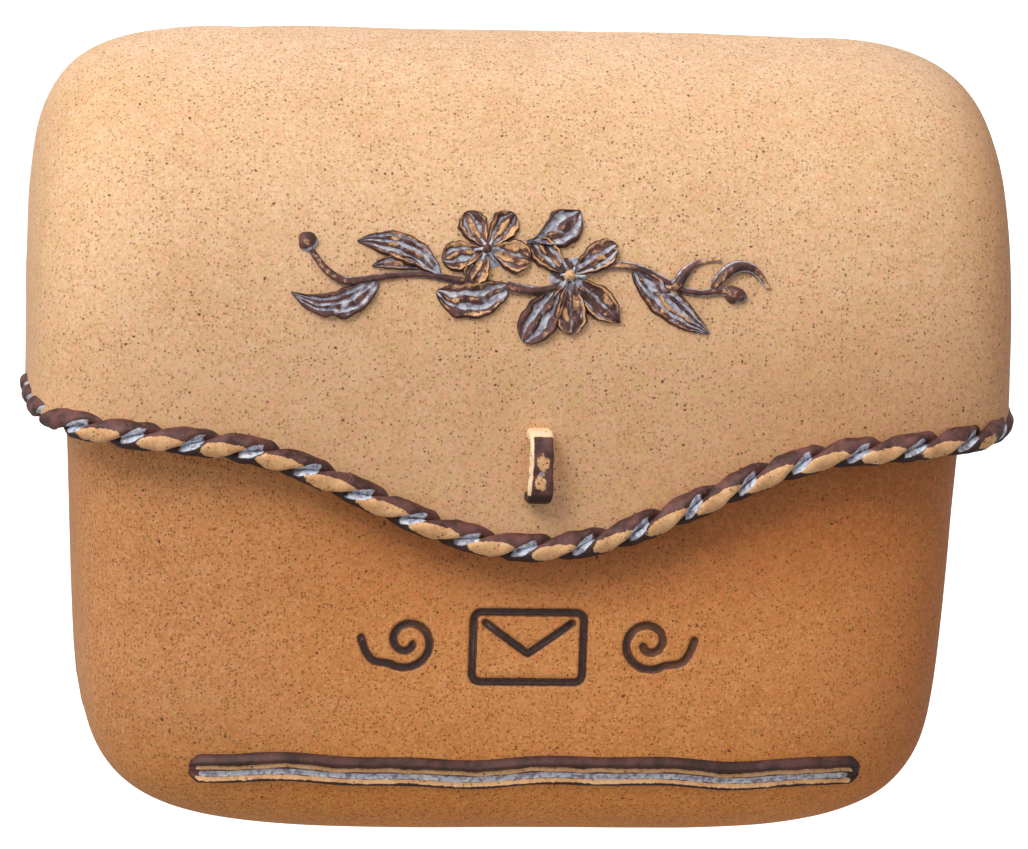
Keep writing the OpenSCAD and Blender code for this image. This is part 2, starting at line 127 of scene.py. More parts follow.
def reach(c, s, n):
    """Radius of the rounded square |x|^n + |y|^n = 1 in the direction [c, s]."""
    return (np.abs(c) ** n + np.abs(s) ** n) ** (-1.0 / n)


def depth_share(u, v, q, m):
    """How far a form stands out, 0 to 1, at u across and v up it, as shares of its half sizes."""
    a = np.maximum(0, 1 - np.abs(u) ** q) ** (m / q) - np.maximum(0, v) ** m
    return np.maximum(0, a) ** (1 / m)


def hood_y(x, z):
    share = depth_share(x / HOOD_HALF, (z - Z_CROWN) / HOOD_CROWN, HOOD_Q, HOOD_M)
    return HOOD_REAR - HOOD_D * share


def pocket_half(z):
    return POCKET_W / 2 - TAPER * (Z_RIM - z)


def pocket_deep(z):
    return POCKET_D - BOW * ((z - Z_BELLY) / (Z_RIM - Z_BELLY)) ** 2


def pocket_y(x, z):
    share = depth_share(x / pocket_half(z), (Z_FOOT - z) / FOOT, POCKET_Q, POCKET_M)
    return -SLAB_T - pocket_deep(z) * share


def on_face(face, x, z, h):
    """Points h above the face y(x, z), along its outward normal."""
    x, z, h = np.broadcast_arrays(np.asarray(x, float), np.asarray(z, float), np.asarray(h, float))
    slope = [face(x + 0.5, z) - face(x - 0.5, z), -np.ones_like(x), face(x, z + 0.5) - face(x, z - 0.5)]
    return np.stack([x, face(x, z), z], -1) + h[..., None] * unit(np.stack(slope, -1))


def wave(x):
    """Height of the flap's wavy edge."""
    a = np.abs(x)
    swell = FLAP_RISE * (1 - np.cos(np.pi * np.minimum(a, FLAP_SPAN) / FLAP_SPAN)) / 2
    return Z_BOTTOM + FLAP_LOW + swell + FLAP_SLOPE * np.maximum(0, a - FLAP_SPAN)


def flap_edge(x, f):
    """The edge's height where the hood stands out by the share f of its depth."""
    return wave(x) + 4.0 * (1 - f)


def ripple(p, size, seed, waves=12):
    """A smooth random field over points in mm, about -1 to 1, with features of the given size."""
    r = np.random.default_rng(seed)
    k = unit(r.normal(size=(waves, 3))) * (2 * np.pi / size) * r.uniform(0.7, 1.4, (waves, 1))
    return np.sin(p @ k.T + r.uniform(0, 2 * np.pi, waves)).sum(-1) / math.sqrt(waves)


# ---- Mesh helpers ----


def add_mesh(name, points, faces, body, material, nodes=(), values=None):
    """A piece from points in mm. values gives its named numbers per point."""
    me = bpy.data.meshes.new(name)
    me.from_pydata((np.asarray(points) * MM).tolist(), [], faces)
    me.update()
    me.validate()
    me.polygons.foreach_set("use_smooth", [True] * len(me.polygons))
    for key, data in (values or {}).items():
        numbers = np.asarray(data, np.float32).ravel()
        me.attributes.new(key, "FLOAT", "POINT").data.foreach_set("value", numbers)
    me.materials.append(material)
    ob = bpy.data.objects.new(name, me)
    bpy.context.scene.collection.objects.link(ob)
    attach(ob, body)
    if nodes:
        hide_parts(*nodes)
    return ob


def loft(rings):
    """A closed solid through rings of equally many points, its ends closed by fans."""
    rings = np.asarray(rings)
    n, m = rings.shape[:2]
    points = np.concatenate([rings.reshape(-1, 3), rings[0].mean(0)[None], rings[-1].mean(0)[None]])
    i, j = np.meshgrid(np.arange(n - 1), np.arange(m), indexing="ij")
    a, b = i * m + j, i * m + (j + 1) % m
    faces = np.stack([a, b, b + m, a + m], -1).reshape(-1, 4).tolist()
    for k in range(m):
        faces.append([n * m, (k + 1) % m, k])
        faces.append([n * m + 1, (n - 1) * m + k, (n - 1) * m + (k + 1) % m])
    return points, outward(points, faces)


def with_ends(values, end=0):
    """A value for each point of a loft's rings, and end for the middles of its two ends."""
    return np.append(np.ravel(values), [end, end])


def outward(points, faces):
    """The faces, all turned over if they enclose a negative volume."""
    total = 0.0
    for f in faces:
        for k in range(1, len(f) - 1):
            total += np.dot(points[f[0]], np.cross(points[f[k]], points[f[k + 1]]))
    return faces if total > 0 else [f[::-1] for f in faces]


def spread(curve, lo, hi, count, turn=0.0):
    """Parameter values that step evenly along a curve, and closer where it turns."""
    t = np.linspace(lo, hi, 6001)
    d = np.diff(curve(t), axis=0)
    length = np.linalg.norm(d, axis=1)
    way = d / np.maximum(length, 1e-12)[:, None]
    weight = length.copy()
    weight[1:] += turn * np.arccos(np.clip((way[1:] * way[:-1]).sum(1), -1, 1))
    s = np.concatenate([[0], np.cumsum(weight)])
    return np.interp(np.linspace(0, s[-1], count), s, t)


class Shell:
    """A wall between two equal grids of points. Its open edges are rounded outwards by bulge."""

    def __init__(self, outer, inner, keep, bulge, steps=6):
        rows, cols = outer.shape[:2]
        flat = outer.reshape(-1, 3)
        _, first, back = np.unique(np.round(flat, 3), axis=0, return_index=True, return_inverse=True)
        at = back.reshape(rows, cols)
        self.outer, self.inner = flat[first], inner.reshape(-1, 3)[first]
        bulge = np.broadcast_to(bulge, (rows, cols)).reshape(-1)[first]
        faces = []
        for r in range(rows - 1):
            for c in range(cols - 1):
                if keep[r, c]:
                    f = [at[r, c], at[r, c + 1], at[r + 1, c + 1], at[r + 1, c]]
                    f = [v for k, v in enumerate(f) if v != f[k - 1]]
                    if len(f) > 2:
                        faces.append(f)
        mid = faces[len(faces) // 2]
        a, b, c = (self.outer[v] for v in mid[:3])
        if np.dot(np.cross(b - a, c - a), (self.outer - self.inner)[mid[0]]) < 0:
            faces = [f[::-1] for f in faces]
        ways = {(f[k - 1], f[k]) for f in faces for k in range(len(f))}
        rim = sorted(w for w in ways if (w[1], w[0]) not in ways)
        normal = unit(self.outer - self.inner)
        away = np.zeros_like(self.outer)
        for a, b in rim:
            d = unit(self.outer[b] - self.outer[a])
            w = np.cross(d, normal[a] + normal[b])
            away[a] += w
            away[b] += w
        away = unit(away)
        count = len(self.outer)
        points = [self.outer, self.inner]
        used = sorted({v for w in rim for v in w})
        place = {v: k for k, v in enumerate(used)}
        for j in range(1, steps):
            t = math.pi * j / steps
            points.append(
                self.outer[used] * (1 + math.cos(t)) / 2
                + self.inner[used] * (1 - math.cos(t)) / 2
                + away[used] * bulge[used][:, None] * math.sin(t)
            )

        def row(v, j):
            if j == 0:
                return v
            return v + count if j == steps else 2 * count + (j - 1) * len(used) + place[v]

        walls = [[row(b, j), row(a, j), row(a, j + 1), row(b, j + 1)] for a, b in rim for j in range(steps)]
        self.points = np.concatenate(points)
        self.faces = faces + [[v + count for v in f[::-1]] for f in faces] + walls
        used_points = np.unique(np.concatenate([np.array(f) for f in self.faces]))
        if len(used_points) < len(self.points):
            new = np.full(len(self.points), -1)
            new[used_points] = np.arange(len(used_points))
            self.points = self.points[used_points]
            self.faces = [new[f].tolist() for f in self.faces]


# ---- Materials ----


class Nodes:
    """Short hand for one material's node tree."""

    def __init__(self, name):
        self.mat = bpy.data.materials.new(name)
        self.mat.use_nodes = True
        self.tree = self.mat.node_tree
        self.bsdf = self.tree.nodes["Principled BSDF"]
        coord = self.tree.nodes.new("ShaderNodeTexCoord")
        self.place = coord.outputs["Object"]

    def put(self, socket, v):
        """Links the socket to v where v is a socket too, or else gives it the value v."""
        if isinstance(v, bpy.types.NodeSocket):
            self.tree.links.new(v, socket)
        else:
            socket.default_value = (*v, 1.0) if socket.type == "RGBA" and len(v) == 3 else v

    def node(self, kind, inputs=(), **props):
        n = self.tree.nodes.new(kind)
        for k, v in props.items():
            setattr(n, k, v)
        for key, v in dict(inputs).items():
            self.put(n.inputs[key], v)
        return n

    def math(self, op, a, b):
        return self.node("ShaderNodeMath", {0: a, 1: b}, operation=op).outputs[0]

    def times(self, a, b):
        return self.math("MULTIPLY", a, b)

    def swing(self, noise, amount):
        """A noise of 0 to 1 centred on 0 and multiplied by amount."""
        return self.times(self.math("SUBTRACT", noise, 0.5), amount)

    def vector(self, op, a, b):
        second = "Scale" if op == "SCALE" else 1
        return self.node("ShaderNodeVectorMath", {0: a, second: b}, operation=op).outputs[0]

    def ramp(self, value, a, b, lo=0.0, hi=1.0):
        """value from a to b becomes lo to hi, smoothly and clamped."""
        ends = {"Value": value, "From Min": a, "From Max": b, "To Min": lo, "To Max": hi}
        return self.node("ShaderNodeMapRange", ends, interpolation_type="SMOOTHSTEP").outputs["Result"]

    def mix(self, fac, a, b, blend="MIX"):
        n = self.tree.nodes.new("ShaderNodeMix")
        n.data_type, n.blend_type = "RGBA", blend
        for key, v in ((0, fac), (6, a), (7, b)):
            self.put(n.inputs[key], v)
        return n.outputs[2]

    def noise(self, size_mm, detail=3.0, rough=0.55, seed=0.0):
        shift = self.vector("ADD", self.place, (seed, seed * 0.7, -seed))
        return self.node("ShaderNodeTexNoise", {"Vector": shift, "Scale": 1000.0 / size_mm,
                                                "Detail": detail, "Roughness": rough}).outputs["Fac"]

    def value(self, name):
        return self.node("ShaderNodeAttribute", attribute_name=name).outputs["Fac"]

    def specks(self, cell_mm, least, most, seed=0.0):
        """Round dark specks: 1 inside one. Each cell's speck has its own size."""
        shift = self.vector("ADD", self.place, (seed, -seed, seed * 0.5))
        warp = self.node("ShaderNodeTexNoise", {"Vector": shift, "Scale": 1400.0 / cell_mm, "Detail": 1.0})
        bend = self.vector("SUBTRACT", warp.outputs["Color"], (0.5, 0.5, 0.5))
        moved = self.vector("ADD", shift, self.vector("SCALE", bend, cell_mm * MM * 0.55))
        cell = self.node("ShaderNodeTexVoronoi", {"Vector": moved, "Scale": 1000.0 / cell_mm}, feature="F1")
        pick = self.node("ShaderNodeSeparateColor", {0: cell.outputs["Color"]}).outputs[0]
        size = self.node("ShaderNodeMapRange", {"Value": pick, "From Min": 1 - least, "From Max": 1.0,
                                                "To Min": 0.0, "To Max": most}).outputs["Result"]
        gap = self.math("SUBTRACT", size, cell.outputs["Distance"])
        return self.ramp(gap, -0.03, 0.05)

    def finish(self, colour, rough, height=None, strength=1.0, depth_mm=0.1, **constants):
        self.put(self.bsdf.inputs["Base Color"], colour)
        self.put(self.bsdf.inputs["Roughness"], rough)
        for key, v in constants.items():
            self.bsdf.inputs[key.replace("_", " ")].default_value = v
        if height is not None:
            size = {"Height": height, "Strength": strength, "Distance": depth_mm * MM}
            self.put(self.bsdf.inputs["Normal"], self.node("ShaderNodeBump", size).outputs[0])
        return self.mat


def tint(colour, red, green, blue):
    return colour[0] * red, colour[1] * green, colour[2] * blue


def speckled(n, pale, base, deep, painted_shade, punch):
    """Stoneware's colour, height and roughness: soft patches, fine mottling and iron specks.

    painted_shade is where darker, redder clay is painted in as shade, and punch is how strongly the grain
    shows."""
    patch = n.noise(46, 3.0, 0.6, 0.31)
    mottle = n.noise(7.5, 4.0, 0.65, 0.83)
    grain = n.noise(1.5, 2.0, 0.7, 0.17)
    c = n.mix(n.ramp(patch, 0.34, 0.66), deep, base)
    c = n.mix(n.ramp(mottle, 0.42, 0.66, 0.0, 0.62), c, pale)
    c = n.mix(n.ramp(grain, 0.48, 0.64, 0.0, 0.50 * punch), c, tint(deep, 0.80, 0.72, 0.60))
    light = n.ramp(n.noise(1.1, 1.0, 0.5, 0.53), 0.54, 0.66, 0.0, 0.45 * punch)
    c = n.mix(light, c, tint(pale, 1.13, 1.13, 1.13))
    # Painted shade: darker, redder clay where the shade mask is high.
    c = n.mix(painted_shade, c, tint(deep, 0.72, 0.52, 0.38))
    big = n.specks(3.0, 0.40, 0.20, 0.11)
    small = n.specks(1.6, 0.90, 0.30, 0.47)
    faint = n.specks(1.25, 0.90, 0.44, 0.77)
    pink = n.ramp(n.noise(2.3, 2.0, 0.6, 0.29), 0.51, 0.64, 0.0, 0.42)
    c = n.mix(pink, c, tint(base, 1.10, 0.80, 0.90))
    olive = n.ramp(n.noise(2.0, 2.0, 0.6, 0.67), 0.52, 0.65, 0.0, 0.45)
    c = n.mix(olive, c, tint(base, 0.86, 0.93, 0.58))
    c = n.mix(n.times(faint, min(0.9, 0.60 * punch)), c, tint(deep, 0.62, 0.5, 0.36))
    c = n.mix(n.times(small, 0.72), c, IRON)
    c = n.mix(n.times(big, 0.92), c, IRON)
    height = n.math("ADD", n.times(grain, 0.8), n.times(mottle, 0.6))
    height = n.math("SUBTRACT", height, n.times(big, 0.25))
    rough = n.ramp(n.math("ADD", mottle, n.times(big, -0.4)), 0.2, 0.8, 0.5, 0.72)
    return c, height, rough


LID_PALE, LID_BASE, LID_DEEP = (0.83, 0.56, 0.345), (0.77, 0.487, 0.28), (0.71, 0.425, 0.225)
# The pocket's clay is deeper and more saturated than the lid's: partly its own tone, partly painted warm shade
# under the flap.
BODY_PALE, BODY_BASE, BODY_DEEP = (0.74, 0.335, 0.125), (0.67, 0.280, 0.088), (0.60, 0.232, 0.064)
IRON = (0.10, 0.045, 0.022)
OXIDE, OXIDE_DARK = (0.150, 0.056, 0.050), (0.050, 0.018, 0.015)
WORN = (0.80, 0.47, 0.23)
GLAZE = (0.62, 0.68, 0.80)


def clay_lid():
    """Pale clay, with painted shade at its right side and low down towards the right, and a painted highlight
    on top.
    """
    n = Nodes("lid_clay")
    x, _, z = n.node("ShaderNodeSeparateXYZ", {0: n.place}).outputs
    # Painted shade down the hood's right edge.
    far = n.ramp(x, 0.148, 0.194, 0.0, 0.9)
    # Painted shade low on the hood, stronger towards the right.
    low = n.times(n.ramp(z, 0.02, -0.12, 0.0, 0.46), n.ramp(x, 0.0, 0.15, 0.9, 2.1))
    c, h, r = speckled(n, LID_PALE, LID_BASE, LID_DEEP, n.math("MAXIMUM", far, low), 1.15)
    # Painted highlight: paler, bluer clay along the top.
    c = n.mix(n.ramp(z, 0.04, 0.07), c, (1.04, 1.10, 1.25), "MULTIPLY")
    return n.finish(c, r, h, 0.55, 0.16, Specular_IOR_Level=0.35)


def clay_body(groove=False):
    """Orange clay, with painted shade at its right side and painted shadow of the flap by the rim, darker low
    on the left, and a brighter foot partly painted as warm light from below. groove adds the strokes' stain.
    """
    n = Nodes("body_clay_cut" if groove else "body_clay")
    x, _, z = n.node("ShaderNodeSeparateXYZ", {0: n.place}).outputs
    # Painted shade down the pocket's right side.
    far = n.ramp(x, 0.085, 0.18, 0.0, 0.8)
    # Painted shadow of the flap along the top of the pocket, from the middle to the right.
    rim = n.times(n.ramp(z, -0.16, -0.11, 0.0, 0.75), n.ramp(x, -0.12, -0.02))
    c, h, r = speckled(n, BODY_PALE, BODY_BASE, BODY_DEEP, n.math("MAXIMUM", far, rim), 1.5)
    left = n.times(n.ramp(x, -0.04, -0.16), n.ramp(z, -0.05, -0.13, 0.35, 1.0))
    c = n.mix(left, c, (0.83, 0.895, 1.06), "MULTIPLY")
    # Brighter, more orange foot: partly the firing's flash, partly painted warm light from below.
    c = n.mix(n.ramp(z, -0.185, -0.225), c, (1.22, 1.10, 0.78), "MULTIPLY")
    if groove:
        edge = n.math("ADD", n.value("stroke"), n.swing(n.noise(2.2, 3.0, 0.6, 0.9), 0.9))
        blot = n.ramp(n.noise(2.6, 2.0, 0.6, 0.21), 0.35, 0.7)
        stain = n.mix(blot, (0.035, 0.013, 0.011), (0.085, 0.031, 0.025))
        c = n.mix(n.ramp(edge, 1.75, 1.45), c, stain)
        c = n.mix(n.ramp(edge, 3.0, 1.7, 0.0, 0.25), c, tint(BODY_DEEP, 0.5, 0.5, 0.5))
    return n.finish(c, r, h, 0.55, 0.16, Specular_IOR_Level=0.35)


def stained(name, soft=1.0, full=0.92):
    """Dark oxide, rubbed off where 'worn' is high, with pale glaze lying where 'glaze' is high.

    'dark' deepens the oxide, and under the rope and the strap it paints shade; 'pale' lightens the bare clay.
    soft is the width of the patches' edges, and full is how much a pool of glaze covers."""
    n = Nodes(name)
    fine = n.noise(1.8, 4.0, 0.65, 0.37)
    wide = n.noise(7.0, 3.0, 0.6, 0.71)
    oxide = n.mix(n.ramp(wide, 0.35, 0.65), OXIDE_DARK, OXIDE)
    oxide = n.mix(n.ramp(fine, 0.52, 0.72, 0.0, 0.5), oxide, (0.24, 0.11, 0.09))
    # Near-black where 'dark' is high: deeper oxide, and painted shade under the rope and the strap.
    oxide = n.mix(n.ramp(n.value("dark"), 0.2, 0.8, 0.0, 0.85), oxide, (0.022, 0.009, 0.008))
    bare = n.mix(n.ramp(wide, 0.3, 0.7), (0.66, 0.33, 0.14), WORN)
    bare = n.mix(n.ramp(fine, 0.5, 0.7, 0.0, 0.5), bare, (0.88, 0.58, 0.32))
    bare = n.mix(n.ramp(n.noise(1.1, 2.0, 0.6, 0.19), 0.52, 0.66, 0.0, 0.45), bare, (0.42, 0.20, 0.085))
    bare = n.mix(n.times(n.value("pale"), 0.85), bare, (0.93, 0.72, 0.47))
    bare = n.mix(n.times(n.specks(1.5, 0.6, 0.36, 0.61), 0.75), bare, IRON)
    rub = n.math("ADD", n.value("worn"), n.swing(fine, 0.9))
    rub = n.math("ADD", rub, n.swing(wide, 0.6))
    rubbed = n.ramp(rub, 0.5 - 0.08 * soft, 0.5 + 0.10 * soft)
    c = n.mix(rubbed, oxide, bare)
    pool = n.math("ADD", n.value("glaze"), n.swing(n.noise(2.4, 3.0, 0.6, 0.13), 0.8))
    pooled = n.ramp(pool, 0.56 - 0.10 * soft, 0.56 + 0.10 * soft, 0.0, full)
    glaze = n.mix(n.ramp(n.noise(2.4, 3.0, 0.6, 0.45), 0.38, 0.58), (0.27, 0.24, 0.31), GLAZE)
    # Near-white patches in the glaze: partly its own pale tone, partly painted highlights.
    glaze = n.mix(n.ramp(n.noise(4.2, 3.0, 0.6, 0.97), 0.54, 0.64, 0.0, 0.75), glaze, (0.86, 0.89, 0.90))
    c = n.mix(pooled, c, glaze)
    rough = n.math("SUBTRACT", n.ramp(fine, 0.3, 0.7, 0.48, 0.66), n.times(pooled, 0.22))
    height = n.math("ADD", n.times(fine, 0.9), n.times(rubbed, -0.12))
    return n.finish(c, rough, height, 0.6, 0.22, Specular_IOR_Level=0.4)


def dark_slip():
    n = Nodes("slip")
    blot = n.ramp(n.noise(1.6, 3.0, 0.6, 0.27), 0.4, 0.68)
    c = n.mix(blot, (0.030, 0.012, 0.010), (0.062, 0.024, 0.018))
    rough = n.ramp(n.noise(4, 2.0, 0.5, 0.5), 0.3, 0.7, 0.45, 0.62)
    return n.finish(c, rough, n.noise(0.9, 2.0, 0.6, 0.3), 0.5, 0.12)


def steel():
    n = Nodes("hinge_steel")
    stretch = n.node("ShaderNodeMapping", {"Vector": n.place, "Scale": (14.0, 1.0, 1.0)})
    grain = {"Vector": stretch.outputs[0], "Scale": 500.0, "Detail": 2.0}
    line = n.node("ShaderNodeTexNoise", grain).outputs["Fac"]
    c = n.mix(n.ramp(line, 0.3, 0.7), (0.50, 0.50, 0.51), (0.66, 0.66, 0.67))
    return n.finish(c, n.ramp(line, 0.3, 0.7, 0.26, 0.42), line, 0.25, 0.02, Metallic=1.0)


def matte(name, dark, pale, rough):
    n = Nodes(name)
    fine = n.noise(0.8, 3.0, 0.6, 0.2)
    c = n.mix(n.ramp(n.noise(5, 2.0, 0.5, 0.4), 0.3, 0.7), dark, pale)
    return n.finish(c, n.ramp(fine, 0.3, 0.7, rough - 0.08, rough + 0.06), fine, 0.35, 0.05)


LID_CLAY, BODY_CLAY, CUT_CLAY = clay_lid(), clay_body(), clay_body(True)
STAINED, SPRIG_CLAY = stained("stained_clay"), stained("stained_sprig", 1.7, 0.74)
SLIP, STEEL = dark_slip(), steel()
RUBBER = matte("soft_rubber", (0.018, 0.018, 0.019), (0.035, 0.034, 0.033), 0.75)
NYLON = matte("nylon", (0.66, 0.65, 0.60), (0.76, 0.75, 0.71), 0.5)


def paint(material, *nodes):
    """Gives the material to CAD nodes that are shown as they are."""
    for name in nodes:
        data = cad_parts[name].data
        data.materials.clear()
        data.materials.append(material)


paint(BODY_CLAY, "back_slab", "hinge_lug_left", "hinge_lug_right")
paint(LID_CLAY, "lid_lug_left_outer", "lid_lug_left_inner", "lid_lug_right_inner", "lid_lug_right_outer")
paint(NYLON, "bush_left_outer", "bush_left_inner", "bush_right_inner", "bush_right_outer")
paint(STEEL, "hinge_pin_left", "hinge_pin_right", "pin_caps")
paint(RUBBER, "wall_washers", "lid_buffers")


def hand_made(outer, inner):
    """Slight unevenness of a hand-pressed wall, as a shift of both its faces."""
    flat = outer.reshape(-1, 3)
    height = 0.22 * ripple(flat, 95, 3) + 0.07 * ripple(flat, 28, 4)
    return (unit((outer - inner).reshape(-1, 3)) * height[:, None]).reshape(outer.shape)


# ---- Hood: flap, crown and rolled rear edge in one wall ----


WALL_ROWS, CROWN_ROWS, ROLL_ROWS = 26, 72, 16
EDGE_ROUND = 2.6


def hood_columns():
    """Angles of the hood's columns, with one at each side of the gaps over the slab's lugs."""

    def outline(al):
        k = reach(np.cos(al), np.sin(al), HOOD_Q)
        return np.stack([HOOD_HALF * k * np.cos(al), HOOD_D * k * np.sin(al)], -1)

    al = spread(outline, 0, np.pi, 251, 26)
    for x in (*LUG_GAP, *(-v for v in LUG_GAP)):
        t = (abs(x / HOOD_HALF) ** -HOOD_Q - 1) ** (1 / HOOD_Q)
        exact = math.atan(t) if x > 0 else math.pi - math.atan(t)
        al[np.argmin(np.abs(al - exact))] = exact
    return al


def rear_trim(z):
    """How far the crown stops before the rear at height z, where the rolled edge takes over."""
    v = np.clip(z - AXIS_Z, 0, ROLL_R)
    return ROLL_R - np.sqrt(ROLL_R**2 - v**2)


def hood_grid(al, inset, lift):
    """Rows from the flap's edge over the crown to the rear, then round the rolled edge."""
    k = reach(np.cos(al), np.sin(al), HOOD_Q)
    f = k * np.sin(al)
    face = HOOD_HALF * k * np.cos(al)
    x = face * (1 - inset / HOOD_HALF * step(105, 150, np.abs(face)))
    low = flap_edge(face, f) + lift
    deep = (HOOD_D - inset) * f
    rows = [np.stack([x, HOOD_REAR - deep, mix(low, Z_CROWN, t)], -1) for t in np.linspace(0, 1, WALL_ROWS)]
    trim = rear_trim(Z_CROWN + HOOD_CROWN * f)
    left = np.clip(np.where(f > 0.01, trim / ((HOOD_D - inset) * np.maximum(f, 0.01)), 0), 0, 1)
    last = np.arctan2((1 - left**HOOD_M) ** (1 / HOOD_M), left)
    for share in np.linspace(0, 1, CROWN_ROWS + 1)[1:]:
        ps = share * last
        g = reach(np.cos(ps), np.sin(ps), HOOD_M)
        y = HOOD_REAR - deep * g * np.cos(ps)
        rows.append(np.stack([x, y, Z_CROWN + (HOOD_CROWN - inset) * f * g * np.sin(ps)], -1))
    end = rows[-1]
    u, v = end[:, 1] - AXIS_Y, end[:, 2] - AXIS_Z
    radius = np.hypot(u, v)
    start = np.arctan2(v, u)
    rolled = step(170, 150, np.abs(face))
    stop = mix(start - 0.05, math.radians(-5), rolled)
    for t in np.linspace(0, 1, ROLL_ROWS + 1)[1:]:
        a = mix(start, stop, t)
        r = mix(radius, np.where(rolled > 0, ROLL_R - inset, radius), step(0, 0.5, t) * rolled)
        rows.append(np.stack([x, AXIS_Y + r * np.cos(a), AXIS_Z + r * np.sin(a)], -1))
    return np.array(rows)


def build_hood():
    al = hood_columns()
    outer, inner = hood_grid(al, 0, EDGE_ROUND), hood_grid(al, WALL, EDGE_ROUND)
    rows, cols = outer.shape[:2]
    keep = np.ones((rows - 1, cols - 1), bool)
    mid = np.abs(outer[0, :-1, 0] + outer[0, 1:, 0]) / 2
    roll = WALL_ROWS + CROWN_ROWS - 1
    keep[roll:, (mid > SHOULDER) | ((mid > LUG_GAP[0]) & (mid < LUG_GAP[1]))] = False
    bulge = np.full((rows, cols), 1.0)
    bulge[:40] = EDGE_ROUND
    sway = hand_made(outer, inner)
    shell = Shell(outer + sway, inner + sway, keep, bulge)
    add_mesh("hood", shell.points, shell.faces, "lid", LID_CLAY,
             ("lid_hood", "rear_roll", "roll_end_left", "roll_end_right"))


build_hood()

# ---- Pocket, with the motif's strokes cut into its front ----

MOTIF_Z = Z_BOTTOM + 82.0
LETTER_X, LETTER_Z, LETTER_R = 18, 10.5, 3
STROKE_HALF = 1.05


def envelope_outline():
    """A rectangle with rounded corners, closed on its first point."""
    path = []
    for k in range(4):
        x, z = (-LETTER_X if k in (0, 3) else LETTER_X), (LETTER_Z if k < 2 else -LETTER_Z)
        for t in np.linspace(0, 90, 7):
            a = math.radians(180 - 90 * k - t)
            path.append([x + LETTER_R * math.cos(a), MOTIF_Z + z + LETTER_R * math.sin(a)])
    return np.array(path + [path[0]])


def scroll(side):
    t = np.linspace(0, 456, 46)
    r = 2.4 + 8.4 * t / 456
    a = np.radians(t - 150)
    spiral = np.stack([side * (46 + r * np.cos(a)), MOTIF_Z + 2 + r * np.sin(a)], -1)
    t = np.linspace(1, 5, 9)
    tail = np.stack([side * (55.4 + 2.2 * t - 0.12 * t * t), MOTIF_Z - 6 - 0.4 * t + 0.45 * t * t], -1)
    return np.concatenate([spiral, tail])


def envelope_flap():
    half = np.array([[0, -2.5], [5.2, 1.2], [11, 5.4], [16.5, 9.5]])
    return np.concatenate([half[:0:-1] * (-1, 1), half]) + (0, MOTIF_Z)


STROKES = {"slip_envelope": [envelope_outline(), envelope_flap()],
           "slip_scroll_left": [scroll(-1)], "slip_scroll_right": [scroll(1)]}


def to_strokes(x, z):
    """Distance from points on the front to the nearest stroke's middle line."""
    q = np.stack([x, z], -1)
    best = np.full(len(q), 99.0)
    for paths in STROKES.values():
        for path in paths:
            for a, b in zip(path[:-1], path[1:]):
                d = b - a
                t = np.clip(((q - a) @ d) / (d @ d), 0, 1)
                best = np.minimum(best, np.hypot(*(q - a - t[:, None] * d).T))
    return best


def near_motif(points, half_x, half_z):
    """Which points lie on the pocket's front, within a box about the motif."""
    x, y, z = points.T
    return (np.abs(x) < half_x) & (np.abs(z - MOTIF_Z) < half_z) & (y < -SLAB_T - POCKET_D + 4.5)


def refine(bm):
    """Halves the edges close to the motif's strokes."""
    bm.edges.ensure_lookup_table()
    co = np.array([v.co for v in bm.verts])
    front = near_motif(co, 74, 22)
    near = np.zeros(len(co), bool)
    near[front] = to_strokes(co[front, 0], co[front, 2]) < 4.5
    pick = [e for e in bm.edges if near[e.verts[0].index] and near[e.verts[1].index]]
    bmesh.ops.subdivide_edges(bm, edges=pick, cuts=1, use_grid_fill=True)
    bm.verts.index_update()


def pocket_grid(al, inset, lift):
    """Rows from the pocket's rim down its belly and under its foot."""
    k = reach(np.cos(al), np.sin(al), POCKET_Q)
    f = k * np.sin(al)

    def row(z, ps):
        g = reach(np.cos(ps), np.sin(ps), POCKET_M)
        zz = z - (FOOT - inset) * f * g * np.sin(ps)
        y = -SLAB_T - (pocket_deep(zz) - inset) * f * g * np.cos(ps)
        return np.stack([(pocket_half(zz) - inset) * k * np.cos(al), y, zz], -1)

    def foot(ps):
        g = reach(np.cos(ps), np.sin(ps), POCKET_M)
        return np.stack([POCKET_D * g * np.cos(ps), FOOT * g * np.sin(ps)], -1)

    wall = [row(z, 0.0) for z in np.linspace(Z_RIM - lift, Z_FOOT, 46)]
    return np.array(wall + [row(Z_FOOT, ps) for ps in spread(foot, 0, np.pi / 2, 66, 20)[1:]])


def build_pocket():
    def outline(al):
        k = reach(np.cos(al), np.sin(al), POCKET_Q)
        return np.stack([POCKET_W / 2 * k * np.cos(al), POCKET_D * k * np.sin(al)], -1)

    al = spread(outline, 0, np.pi, 215, 24)
    outer, inner = pocket_grid(al, 0, 3.0), pocket_grid(al, WALL, 3.0)
    sway = hand_made(outer, inner)
    rows, cols = outer.shape[:2]
    bulge = np.full((rows, cols), 0.0)
    bulge[:2] = 3.0
    shell = Shell(outer + sway, inner + sway, np.ones((rows - 1, cols - 1), bool), bulge)
    me = bpy.data.meshes.new("pocket")
    me.from_pydata(shell.points.tolist(), [], shell.faces)
    bm = bmesh.new()
    bm.from_mesh(me)
    for _ in range(2):
        refine(bm)
    co = np.array([v.co for v in bm.verts])
    faces = [[v.index for v in f.verts] for f in bm.faces]
    bm.free()
    bpy.data.meshes.remove(me)
    stroke = np.full(len(co), 9.0)
    front = near_motif(co, 80, 28)
    far = to_strokes(co[front, 0], co[front, 2])
    stroke[front] = far
    groove, burr = 1.15 * (1 - step(0.5, 2.0, far)), 0.16 * np.exp(-((far - 2.4) / 0.7) ** 2)
    co[front, 1] += groove - burr
    add_mesh("pocket", co, faces, "mailbox_body", CUT_CLAY, ("body_pocket",), {"stroke": stroke})


